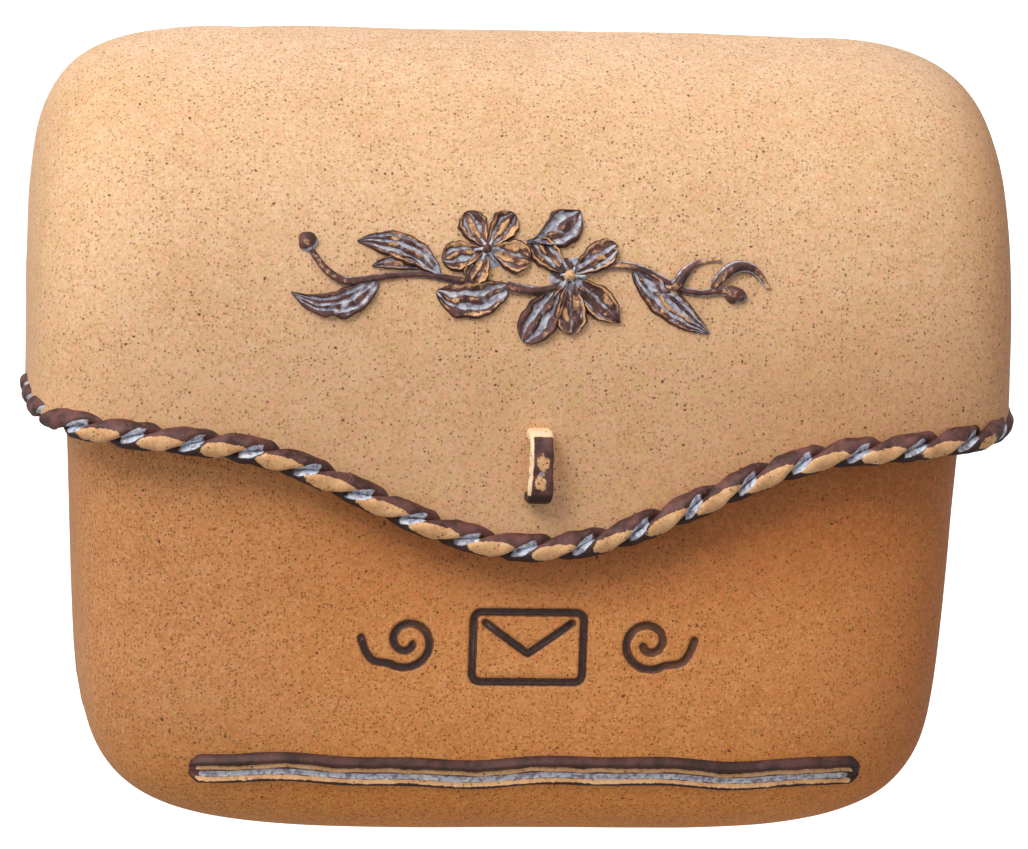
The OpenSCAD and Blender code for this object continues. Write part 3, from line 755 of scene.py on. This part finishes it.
def build_slips():
    """The dark slip lying in each stroke, a little below the pocket's face."""
    s = np.linspace(-1, 1, 7)
    for node, paths in STROKES.items():
        points, faces = [], []
        for path in paths:
            rings = []
            for i, (p, w) in enumerate(zip(path, unit(np.gradient(path, axis=0)))):
                r = s * (0.5 if i in (0, len(path) - 1) else STROKE_HALF)
                x, z = p[0] - w[1] * r, p[1] + w[0] * r
                rings.append(np.concatenate([on_face(pocket_y, x, z, -0.98 + 0.30 * s**2),
                                             on_face(pocket_y, x[::-1], z[::-1], -1.9)]))
            q, f = loft(rings)
            first = sum(map(len, points))
            faces += [[v + first for v in g] for g in f]
            points.append(q)
        name = node.replace("slip_", "slip_line_")
        add_mesh(name, np.concatenate(points), faces, "mailbox_body", SLIP, (node,))


build_pocket()
build_slips()


def hill(x, middle, width, power=2):
    """A bump of height 1 at middle. A higher power gives it a flatter top and steeper sides."""
    return np.exp(-((x - middle) / width) ** power)


def build_band():
    """Two uneven ridges pressed along the foot, with glaze lying between them."""
    xs = np.linspace(-126, 131, 260)
    s = np.linspace(-1, 1, 29)
    rings, worn, glaze, dark = [], [], [], []
    for i, x in enumerate(xs):
        end = min(i, len(xs) - 1 - i)
        near = math.sqrt(min(1, 0.20 + end / 4.5))
        lean = 0.9 * math.sin(math.radians(x * 3.1)) + 0.5 * math.sin(math.radians(x * 7.3 + 40))
        shake = 0.35 * math.sin(x * 0.21 + 1) + 0.25 * math.sin(x * 0.47)
        top, low = hill(s, 0.66 + 0.03 * shake, 0.26), hill(s, 0.05 * shake - 0.70, 0.16)
        h = (0.75 + np.maximum(2.5 * top, 1.7 * low) + 1.15 * hill(s, 0.14 + 0.10 * shake, 0.13)) * near
        if x > 126:
            h = np.maximum(h, 2.6 * step(126, 128, x) * hill(s, 0.2, 0.7, 4) * near)
        h[0] = h[-1] = 0.25
        z = Z_BOTTOM + 32.5 + lean + 6.0 * s * near
        rings.append(np.concatenate([on_face(pocket_y, x, z, h), on_face(pocket_y, x, z[::-1][::28], -1.0)]))
        crest = (1.1 * hill(s, 0.17 + 0.10 * shake, 0.15) + hill(s, -0.55, 0.10)) * step(128.5, 126.5, x)
        pool = hill(s, -0.26, 0.21, 4) * step(127.5, 125.5, x) * step(-123.5, -121, x)
        black = 0.5 * step(0.3, 0.45, s) + step(-0.60, -0.66, s) + step(125, 128, x)
        worn.append(np.append(crest * step(-124.5, -122, x), [0, 0]))
        glaze.append(np.append(pool, [0, 0]))
        dark.append(np.append(black, [1, 1]))
    p, f = loft(rings)
    add_mesh("band", p, f, "mailbox_body", STAINED, ("base_band",),
             {"worn": with_ends(worn), "glaze": with_ends(glaze), "dark": with_ends(dark, 1)})


build_band()

# ---- Rope along the flap's edge ----


ROPE_PITCH = 44.0


def rope_line(al):
    """The rope's middle line, and the direction straight out of the hood at each of its points."""
    k = reach(np.cos(al), np.sin(al), HOOD_Q)
    f = k * np.sin(al)
    x = HOOD_HALF * k * np.cos(al)
    slope_x = np.abs(k * np.cos(al)) ** (HOOD_Q - 1) * np.sign(np.cos(al)) / HOOD_HALF
    slope_y = -np.maximum(f, 0) ** (HOOD_Q - 1) / HOOD_D
    out = unit(np.stack([slope_x, slope_y, np.zeros_like(al)], -1))
    sunk = 0.6 - 3.8 * step(0.97, 0.70, f)
    return np.stack([x, HOOD_REAR - HOOD_D * f, flap_edge(x, f) + 2.5], -1) + sunk[:, None] * out, out


def build_rope():
    """Two strands turned about each other, rubbed bare in front and glazed between the turns."""
    al = np.linspace(0, np.pi, 4001)
    line, out = rope_line(al)
    s_all = np.concatenate([[0], np.cumsum(np.linalg.norm(np.diff(line, axis=0), axis=1))])
    total = s_all[-1]
    s = np.linspace(1, total - 1, int(total / 0.9))

    def along(v, q):
        return np.stack([np.interp(q, s_all, v[:, i]) for i in range(3)], -1)

    p = along(line, s)
    d = unit(along(line, s + 1) - along(line, s - 1))
    side = unit(np.cross(d, [0, 0, 1.0]))
    top = np.cross(side, d)
    facing = unit(along(out, s))
    front_turn = np.arctan2((facing * top).sum(-1), (facing * side).sum(-1))
    a = circle(28)
    for phase, node in ((0, "rope_strand_a"), (180, "rope_strand_b")):
        turn = np.radians(phase + 360 * s / ROPE_PITCH)
        away = np.cos(turn)[:, None] * side + np.sin(turn)[:, None] * top
        around = np.cos(turn)[:, None] * top - np.sin(turn)[:, None] * side
        k = np.minimum(1, np.sqrt(0.12 + np.minimum(s - s[0], s[-1] - s) / 4.5))
        size = 1 + 0.035 * np.sin(s * 0.31 + phase) + 0.03 * np.sin(s * 0.83 + 2 * phase)
        thick, wide = (2.8 * k * size)[:, None] * np.cos(a), (4.15 * k * size)[:, None] * np.sin(a)
        rings = p[:, None] + (2.6 + thick)[..., None] * away[:, None] + wide[..., None] * around[:, None]
        flat = rings.reshape(-1, 3)
        off = rings - p[:, None]
        r = np.linalg.norm(off, axis=2)
        unit_off = off / np.maximum(r, 1e-6)[..., None]
        uneven = 0.13 * ripple(flat, 9, 11 + phase) + 0.06 * ripple(flat, 4, 12)
        rings = rings + uneven.reshape(r.shape)[..., None] * unit_off
        front = (unit_off * facing[:, None]).sum(-1)
        u = ((turn - front_turn + np.pi) % (2 * np.pi) - np.pi) * ROPE_PITCH / (2 * np.pi)
        v = (off * top[:, None]).sum(-1)
        vary = 1 + 0.22 * np.sin(0.9 * np.floor((s + u) / (ROPE_PITCH / 2) + 0.5))
        patch = 1 - ((u - 0.2) / (10.6 * vary))[:, None] ** 2 - ((v + 1.4 + 0.07 * u[:, None]) / 3.3) ** 2
        worn = step(-0.55, 0.75, patch) * step(0.0, 0.3, front) * step(3.6, 4.3, r)
        worn = worn * step(186, 166, np.abs(rings[..., 0]))
        # Darker on one side of each turn, and painted shade along the rope's underside.
        dark = step(4.0, 10.0, u[:, None] - 0.5 * v) * step(4.6, 4.0, v) + step(-3.9, -5.0, v) * 0.8
        near = hill(np.abs(u), ROPE_PITCH / 4, 4.2)[:, None]
        glaze = 1.5 * near * step(5.0, 4.1, r) * step(0.0, 0.5, front)
        q, f = loft(rings)
        add_mesh(node.replace("rope_", "twisted_"), q, f, "lid", STAINED, (node,),
                 {"worn": with_ends(worn), "glaze": with_ends(glaze), "dark": with_ends(dark)})


build_rope()


STRAP_X, STRAP_Y = 4.5, 2.1
STRAP_BEND = 6.6


def strap_section(a):
    c, s = np.cos(a), np.sin(a)
    return np.stack([STRAP_X * np.sign(c) * np.abs(c) ** 0.38, STRAP_Y * np.sign(s) * np.abs(s) ** 0.42], -1)


def strap_path(mid, half, out):
    """The strap's middle line as [y, z]: out of the hood, down the front and back in."""
    face, r = hood_y(0.0, mid), STRAP_BEND
    quarter = np.linspace(0, math.pi / 2, 12)
    path = [[face + 2.5, mid + half], [face - 1, mid + half], [out + r + 1, mid + half]]
    path += [[out + r - r * math.sin(t), mid + half - r + r * math.cos(t)] for t in quarter]
    path += [[out, mid + z] for z in np.linspace(half - r - 1.0, -half + r + 1.0, 25)]
    path += [[out + r - r * math.cos(t), mid - half + r - r * math.sin(t)] for t in quarter]
    path += [[out + r + 1, mid - half], [face - 1, mid - half], [face + 2.5, mid - half]]
    return np.array(path)


def build_loop():
    """The strap, stained and rubbed in spots on its front, and of bare pale clay elsewhere."""
    mid = (loop_lo[2] + loop_hi[2]) / 2
    half = (loop_hi[2] - loop_lo[2]) / 2 - STRAP_Y
    path = strap_path(mid, half, loop_lo[1] + STRAP_Y)
    d = unit(np.gradient(path, axis=0))
    n = np.stack([d[:, 1], -d[:, 0]], -1)
    cx, cn = strap_section(spread(strap_section, 0, 2 * np.pi, 49)[:-1]).T
    rings, worn, glaze, bare = [], [], [], []
    for i, (q, w) in enumerate(zip(path, n)):
        wide = 1 + 0.03 * math.sin(i * 0.5)
        rings.append(np.stack([cx * wide, q[0] + w[0] * cn, q[1] + w[1] * cn], -1))
        up = q[1] - mid
        away = -w[0] if abs(w[0]) > 0.3 else w[1] * up
        front = (cn * np.sign(away) > 1.2) & (abs(w[0]) > 0.55)
        spot = hill(up, 2.8, 3.4) * hill(cx, 0.6, 2.6, 4) + hill(up, -5.2, 3.0) * hill(cx, -0.3, 2.2, 4)
        pool = 0.8 * hill(up, -1.4, 1.1) * hill(cx, 0.2, 1.6) + 0.55 * hill(up, 8.5, 2.6) * hill(cx, 0, 2.6)
        bare.append(np.where(front & (cx > -3.2), 0, 1))
        worn.append(np.where(bare[-1] == 0, 0.05 + 0.72 * spot, 1.2))
        glaze.append(np.where(front, pool, 0))
    rings = np.array(rings)
    flat = rings.reshape(-1, 3)
    rings[..., 0] += 0.16 * ripple(flat, 12, 21).reshape(rings.shape[:2])
    rings[..., 1] += 0.12 * ripple(flat, 10, 22).reshape(rings.shape[:2])
    # Painted shade on the strap's lower bend: darker, and not rubbed bare.
    low = step(mid - half + 5, mid - half, rings[..., 2])
    p, f = loft(rings)
    add_mesh("strap_loop", p, f, "lid", STAINED, ("pull_loop",),
             {"worn": with_ends(worn - 1.2 * low), "glaze": with_ends(glaze), "pale": with_ends(bare, 1),
              "dark": with_ends(low)})


build_loop()

# ---- Sprig of flowers pressed onto the hood ----


def place(x, z):
    """A point on the hood's front, z above the mailbox's bottom."""
    return np.array([x, Z_BOTTOM + z], float)


def soften(path, rounds=3):
    """A path of [x, z] points with its corners cut until it is smooth."""
    path = np.array(path, float)
    for _ in range(rounds):
        a = 0.75 * path[:-1] + 0.25 * path[1:]
        b = 0.25 * path[:-1] + 0.75 * path[1:]
        path = np.concatenate([path[:1], np.stack([a, b], 1).reshape(-1, 2), path[-1:]])
    return path


class Sprig:
    """One piece of the sprig: closed parts with their worn, glaze and dark values, added up."""

    def __init__(self):
        self.points, self.faces, self.count = [], [], 0
        self.values = {"worn": [], "glaze": [], "dark": []}

    def part(self, rings, worn, glaze, dark=0.0):
        p, f = loft(rings)
        self.faces += [[v + self.count for v in g] for g in f]
        self.count += len(p)
        self.points.append(p)
        for store, data in zip(self.values.values(), (worn, glaze, dark)):
            data = np.broadcast_to(data, np.asarray(rings).shape[:2])
            store.append(np.append(data.ravel(), [data[0].mean(), data[-1].mean()]))
        return self

    def done(self, name, *nodes):
        values = {key: np.concatenate(data) for key, data in self.values.items()}
        points = np.concatenate(self.points)
        add_mesh(name, points, self.faces, "lid", SPRIG_CLAY, nodes, values)


def blade(piece, base, bend, tip, half, peak=0.45, blunt=0.75, thick=2.6, rim=0.75, veins=2.0, rub=0.5,
          pool=0.6, seed=0, notch=None, fold=0.0, lift=0.0, tooth=0.0):
    """A leaf or petal from base to tip: raised rim, midrib and lengthwise veins over hollows.

    peak is where along it the half width is reached. fold raises one half above the other, and
    lift raises the tip off the hood. notch cuts one edge, and tooth sharpens both near the tip."""
    base, bend, tip = (np.asarray(v, float) for v in (base, bend, tip))
    t, s = np.linspace(0, 1, 44)[:, None], np.linspace(-1, 1, 27)[None]
    p = (1 - t) ** 2 * base + 2 * t * (1 - t) * bend + t**2 * tip
    d = unit(np.gradient(p, axis=0))
    swell = np.sin(np.pi * t ** (math.log(0.5) / math.log(peak))).clip(0) ** blunt
    w = np.maximum(half * (0.10 * (1 - t) + swell), 0.35)
    wobble = 0.035 * np.sin(19 * t + seed) + 0.03 * np.sin(33 * t + 2 * seed)
    right = w * (1 + tooth * hill(t, 0.80, 0.05)) * (1 + wobble)
    left = w * (1 + tooth * hill(t, 0.72, 0.06)) * (1 - wobble)
    if notch is not None:
        left *= (1 - 0.28 * hill(t, notch, 0.05)) * (1 + 0.10 * hill(t, notch - 0.13, 0.09))
    across = np.where(s < 0, right, left) * s
    x, z = p[:, :1] - d[:, 1:] * across, p[:, 1:] + d[:, :1] * across
    flat = np.stack([x, 0 * x, z], -1).reshape(-1, 3)

    def uneven(size, number):
        return ripple(flat, size, number + seed).reshape(x.shape)

    ss = np.abs(s)
    body = np.sin(np.pi * np.clip(0.06 + 0.9 * t, 0, 1)) ** 0.55
    vein = s + 0.10 * uneven(8, 71) * (1 - ss)
    mid, edge = hill(vein, 0, 0.11), hill(ss, 0.84, 0.11)
    furrows = np.cos(2 * np.pi * veins * vein * (0.70 + 0.30 * t) + 0.7 * seed)
    groove = step(-0.1, 0.9, furrows) * (ss < 0.76)
    hollow, drop = 1 - step(0.35, 0.9, ss), step(0.88, 1.0, ss)
    h = body * (thick * (0.62 - 0.20 * hollow) + 1.25 * rim * edge - 0.55 * groove + 2.2 * fold * s)
    h = h + 0.6 * mid * rim + 1.6 * lift * t**1.5 + 0.20 * uneven(5, 31) + 0.10 * uneven(2.4, 41)
    top = on_face(hood_y, x, z, np.maximum(h * (1 - 0.45 * drop), 0.35))
    under = on_face(hood_y, x[:, ::-1], z[:, ::-1], -0.8)
    rings = np.concatenate([top, under[:, [0, 13, -1]]], 1)
    spots = 0.5 + 0.5 * uneven(5.5, 91)
    field = 0.8 * (1 - groove) * (ss < 0.8) * (0.35 + 0.65 * spots)
    worn = rub * (0.75 * edge * (ss < 0.9) + field) + 0.22 * mid
    worn = worn * (0.35 + 0.65 * body) - 0.6 * drop
    wet = 0.85 * groove + 0.40 * (1 - t) + 0.30 * (1 - spots)
    shine = (1.25 * pool + 0.12) * wet * step(0.92, 0.80, ss)
    dark = 0.9 * drop + 0.5 * step(0.9, 1.0, t)
    pad = np.zeros((len(t), 3))
    return piece.part(rings, np.concatenate([worn, pad], 1), np.concatenate([shine, pad], 1),
                      np.concatenate([dark, pad + 1], 1))


def tube(piece, path, radius, worn, glaze, flat=1.0):
    """A ridged cord along a path on the hood, of radius(t) at the share t of its points."""
    path = soften(path)
    d = unit(np.gradient(path, axis=0))
    t = np.linspace(0, 1, len(path))
    r = np.array([radius(v) for v in t])
    a = circle(16)
    side, rise = r[:, None] * np.cos(a), r[:, None] * np.sin(a)
    ridged = 1 + 0.10 * np.sin(3 * a + 5 * t[:, None])
    x = path[:, None, 0] - d[:, None, 1] * side * ridged
    z = path[:, None, 1] + d[:, None, 0] * side * ridged
    rings = on_face(hood_y, x, z, 0.45 * r[:, None] + rise * ridged * flat)
    high = step(0.5, 0.95, np.sin(a))[None, :] * (0.6 + 0.4 * np.sin(9 * t)[:, None])
    low = hill(np.sin(a), 0.35, 0.3)[None, :]
    under = step(-0.1, -0.6, np.sin(a))[None, :]
    return piece.part(rings, worn + 0.35 * high, glaze * (0.4 + low), under)


def dome(piece, x, z, r, rise, worn, glaze, seed, stretch=(1.0, 0.0, 0.0)):
    """A low round bead. stretch is (length factor, direction x, direction z)."""
    long, ux, uz = stretch
    phi = np.linspace(0.02, math.pi * 0.5, 12)
    a = circle(30)
    rr = r * np.sin(phi)[:, None] * (1 + 0.05 * np.sin(3 * a + seed) + 0.04 * np.sin(5 * a + 2 * seed))
    px, pz = rr * np.cos(a), rr * np.sin(a)
    along = px * ux + pz * uz
    more = np.where(along > 0, long, 1.0)
    px = px + (more - 1) * along * ux
    pz = pz + (more - 1) * along * uz
    h = rise * np.cos(phi)[:, None] + 0.2 + 0 * a
    flat = np.stack([px + x, 0 * px, pz + z], -1).reshape(-1, 3)
    h = h + 0.12 * ripple(flat, 3.5, 50 + seed).reshape(px.shape)
    rings = on_face(hood_y, x + px, z + pz, h)
    foot = on_face(hood_y, x + px[-1], z + pz[-1], -0.9 + 0 * px[-1])
    rings = np.concatenate([rings, foot[None]])
    lit = worn * (1 - (np.sin(phi) ** 3)[:, None]) + 0 * a
    pooled = glaze * (np.sin(phi) ** 2)[:, None] * (0.6 + 0.6 * np.cos(a + 0.8)[None, :])
    pad = 0 * lit[:1]
    return piece.part(rings, np.concatenate([lit, pad]), np.concatenate([pooled, pad]))


def ray(piece, centre, a, length):
    """A thin stamen from a flower's centre, in the direction a."""
    start = centre + 1.2 * np.array([math.cos(a), math.sin(a)])
    stop = centre + length * np.array([math.cos(a + 0.2), math.sin(a + 0.2)])
    d = unit(stop - start)
    b = circle(8)
    rings = []
    for t in np.linspace(0, 1, 7):
        q, r = mix(start, stop, t), 0.75 * (1 - 0.5 * t)
        x, z = q[0] - d[1] * r * np.cos(b), q[1] + d[0] * r * np.cos(b)
        rings.append(on_face(hood_y, x, z, 2.6 - 0.4 * t + r * np.sin(b)))
    piece.part(np.array(rings), 0.1, 0.95)


def flower(centre, petals, seed):
    """Petals laid one over the next on a disc of glaze, with six rays on top.

    Each is (tip offset, half width, thickness, worn, glaze, fold), and may add (peak, bluntness)."""
    piece = dome(Sprig(), *centre, 7.0, 1.3, 0.0, 4.0, seed)
    for i, (offset, half, thick, rub, pool, fold, *point) in enumerate(petals):
        peak, blunt = point or (0.66, 0.52)
        off = np.array(offset, float)
        way = off / np.linalg.norm(off)
        bend = centre + 0.55 * off + 0.10 * half * np.array([-way[1], way[0]])
        blade(piece, centre + 1.2 * way, bend, centre + off, half, peak, blunt, thick, rim=0.95, veins=1.5,
              rub=rub, pool=pool, seed=seed + i, fold=fold, lift=0.25 + 0.12 * (i % 3), tooth=0.05 * (i % 2))
    for i in range(6):
        ray(piece, centre, seed + i * 2 * math.pi / 6, 4.8 + 1.2 * math.sin(3.1 * i + seed))
    return piece


def build_leaves():
    blade(Sprig(), place(-62, 223), place(-76, 206), place(-94, 217.5), 5.0, peak=0.42, thick=2.5, veins=2.3,
          rub=0.34, pool=0.72, seed=1, notch=0.55).done("sprig_leaf_left_lower", "leaf_left_lower")
    piece = blade(Sprig(), place(-38.5, 224.5), place(-49, 237.5), place(-69.5, 236.5), 5.0, peak=0.52,
                  rub=0.62, pool=0.66, seed=2, fold=0.25)
    blade(piece, place(-45, 227), place(-54, 231), place(-64, 227.5), 2.6, peak=0.5, thick=2.1, veins=1.0,
          seed=3).done("sprig_leaf_left_upper", "leaf_left_upper")
    piece = blade(Sprig(), place(-13, 221.3), place(-27, 211.3), place(-39.8, 218.8), 6.7, peak=0.5, blunt=0.6,
                  thick=2.8, veins=1.6, rub=0.62, pool=0.55, seed=4, tooth=0.10)
    tube(piece, [place(-14, 221), place(-8, 219.5), place(0, 219), place(5, 221)],
         lambda t: (2.0 - 0.5 * t) * min(1, 0.35 + 5 * t), 0.05, 0.5).done("sprig_leaf_under", "leaf_under")
    blade(Sprig(), place(-6, 237), place(6, 238.5), place(14.3, 248.6), 6.6, peak=0.66, blunt=0.92, thick=2.8,
          rim=1.0, veins=1.0, rub=0.36, pool=0.8, seed=5, fold=-0.15).done("sprig_leaf_top", "leaf_top")
    blade(Sprig(), place(34, 228), place(45, 215), place(63, 204.5), 5.6, peak=0.5, thick=2.7, veins=2.3,
          rub=0.58, pool=0.66, seed=6, fold=0.35, notch=0.38).done("sprig_leaf_right", "leaf_right")


def build_cords():
    """The two tendrils and the two stems."""
    tube(Sprig(), [place(45, 220), place(51, 222), place(53.5, 227), place(59, 231), place(67, 232)],
         lambda t: 0.9 + 1.3 * math.sin(math.pi * min(1, 0.15 + t)) ** 2 + 0.4 * (t > 0.9),
         0.22, 0.55, 0.8).done("sprig_curl_upper", "curl_upper")
    tube(Sprig(), [place(64, 221), place(67.5, 225.5), place(73, 229.5), place(80, 229), place(85.5, 221.5)],
         lambda t: 0.8 + 1.6 * math.sin(math.pi * min(1, t**0.8)) ** 1.5,
         0.2, 0.6, 0.8).done("sprig_curl_end", "curl_end")
    tube(Sprig(), [place(-86.5, 232.5), place(-81.5, 225.5), place(-74, 221), place(-61, 223.5),
                   place(-48, 225), place(-36, 223.5), place(-30, 222.5), place(-25, 222)],
         lambda t: 1.15 + 0.35 * math.sin(6 * t) ** 2, 0.10, 0.45).done("sprig_stem_left", "stem_left")
    tube(Sprig(), [place(19, 227), place(27, 229.5), place(36.5, 228), place(45, 224), place(52, 220.5),
                   place(59.5, 219), place(67, 220.5), place(72, 219.5)],
         lambda t: 1.3 + 0.3 * math.sin(5 * t) ** 2, 0.10, 0.65).done("sprig_stem_right", "stem_right")


def build_flowers():
    """The buds, the flowers and the flowers' eyes."""
    dome(Sprig(), *place(-88, 236), 3.7, 3.0, 0.45, 0.9, 1).done("sprig_bud_left", "bud_left")
    right_bud = dome(Sprig(), *place(72, 219), 3.3, 3.0, 0.4, 0.6, 2, (1.6, 0.97, -0.2))
    right_bud.done("sprig_bud_right", "bud_right")
    left, right = place(-21, 234), place(10, 225)
    flower(left, [((-7.6, 13.6), 5.3, 2.6, 0.70, 0.35, 0.1), ((10.4, 13.0), 5.1, 2.8, 0.85, 0.3, 0.0),
                  ((-17.0, -3.4), 5.4, 2.8, 0.82, 0.42, 0.1), ((-6.6, -11.8), 4.9, 3.4, 0.95, 0.25, 0.2),
                  ((16.2, -4.0), 6.0, 3.8, 0.95, 0.28, -0.2)], 3).done("sprig_flower_left", "flower_left")
    flower(right, [((-17.2, -24.4), 6.8, 2.8, 0.42, 0.62, 0.1), ((-13.6, 12.8), 5.2, 2.8, 0.85, 0.42, 0.2),
                   ((18.0, 11.3), 5.2, 3.0, 0.75, 0.58, -0.2),
                   ((19.2, -17.0), 5.6, 2.8, 0.8, 0.3, 0.1, 0.55, 0.9),
                   ((0.5, -21.6), 6.0, 3.2, 0.85, 0.3, 0.0)], 5).done("sprig_flower_right", "flower_right")
    dome(Sprig(), *left, 2.5, 4.2, 0.1, 1.2, 3).done("sprig_eye_left", "flower_left_eye")
    dome(Sprig(), *right, 2.5, 4.3, 1.3, 0.2, 4).done("sprig_eye_right", "flower_right_eye")


build_leaves()
build_cords()
build_flowers()

# ---- Stage, light and camera ----


FLOOR_HALF, FLOOR_Z = 40.0, -0.62


def stage_floor():
    me = bpy.data.meshes.new("floor")
    corners = [(-1, -1), (1, -1), (1, 1), (-1, 1)]
    me.from_pydata([(x * FLOOR_HALF, y * FLOOR_HALF, FLOOR_Z) for x, y in corners], [], [(0, 1, 2, 3)])
    ob = bpy.data.objects.new("floor", me)
    bpy.context.scene.collection.objects.link(ob)
    mat = bpy.data.materials.new("floor_white")
    mat.use_nodes = True
    bsdf = mat.node_tree.nodes["Principled BSDF"]
    bsdf.inputs["Base Color"].default_value = (0.8, 0.8, 0.8, 1)
    bsdf.inputs["Roughness"].default_value = 1.0
    bsdf.inputs["Emission Color"].default_value = (1, 1, 1, 1)
    bsdf.inputs["Emission Strength"].default_value = 0.55
    me.materials.append(mat)
    ob.visible_diffuse = False
    ob.visible_glossy = False


def sun(name, azimuth, elevation, strength, angle, colour):
    data = bpy.data.lights.new(name, "SUN")
    data.energy, data.angle, data.color = strength, math.radians(angle), colour
    ob = bpy.data.objects.new(name, data)
    a, e = math.radians(azimuth), math.radians(elevation)
    way = Vector((math.sin(a) * math.cos(e), -math.cos(a) * math.cos(e), math.sin(e)))
    ob.rotation_mode = "QUATERNION"
    ob.rotation_quaternion = way.to_track_quat("Z", "Y")
    bpy.context.scene.collection.objects.link(ob)


def sky():
    world = bpy.data.worlds.new("studio")
    bpy.context.scene.world = world
    world.use_nodes = True
    tree = world.node_tree
    back = tree.nodes["Background"]
    coord = tree.nodes.new("ShaderNodeTexCoord")
    split = tree.nodes.new("ShaderNodeSeparateXYZ")
    ramp = tree.nodes.new("ShaderNodeMapRange")
    tree.links.new(coord.outputs["Generated"], split.inputs[0])
    tree.links.new(split.outputs[2], ramp.inputs["Value"])
    for key, v in (("From Min", -0.6), ("From Max", 0.9), ("To Min", 0.42), ("To Max", 0.60)):
        ramp.inputs[key].default_value = v
    tree.links.new(ramp.outputs["Result"], back.inputs["Strength"])
    back.inputs["Color"].default_value = (1.0, 0.985, 0.97, 1)


stage_floor()
sky()
sun("key", -38, 42, 1.66, 26, (1.0, 0.985, 0.96))
sun("top", -20, 78, 0.56, 60, (1.0, 0.99, 0.97))
sun("side", -80, 18, 0.74, 50, (1.0, 0.98, 0.95))

bpy.context.scene.view_settings.view_transform = "Standard"

# The camera stands 7 degrees to the object's left and 9 degrees above it, and leans a little
CAMERA_AWAY = 2.5
turn, rise, lean = math.radians(-6.95), math.radians(9.0), math.radians(-1.811)
way = Vector((math.sin(turn) * math.cos(rise), -math.cos(turn) * math.cos(rise), math.sin(rise)))
right = Vector((math.cos(turn), math.sin(turn), 0))
up = right.cross(-way)
middle = (Vector(cad_bounds[0]) + Vector(cad_bounds[1])) / 2
aim = middle + Vector((0, 0.0125, 0.0005)) - 0.00188 * right + 0.0042 * up
tilted_right = math.cos(lean) * right - math.sin(lean) * up
tilted_up = math.sin(lean) * right + math.cos(lean) * up
cam = bpy.data.objects.new("camera", bpy.data.cameras.new("camera"))
cam.data.lens, cam.data.sensor_width = 228.1, 36.0
cam.data.clip_start, cam.data.clip_end = 0.05, 200.0
cam.location = aim + way * CAMERA_AWAY
cam.rotation_mode = "QUATERNION"
cam.rotation_quaternion = Matrix((tilted_right, tilted_up, way)).transposed().to_quaternion()
bpy.context.scene.collection.objects.link(cam)
bpy.context.scene.camera = cam
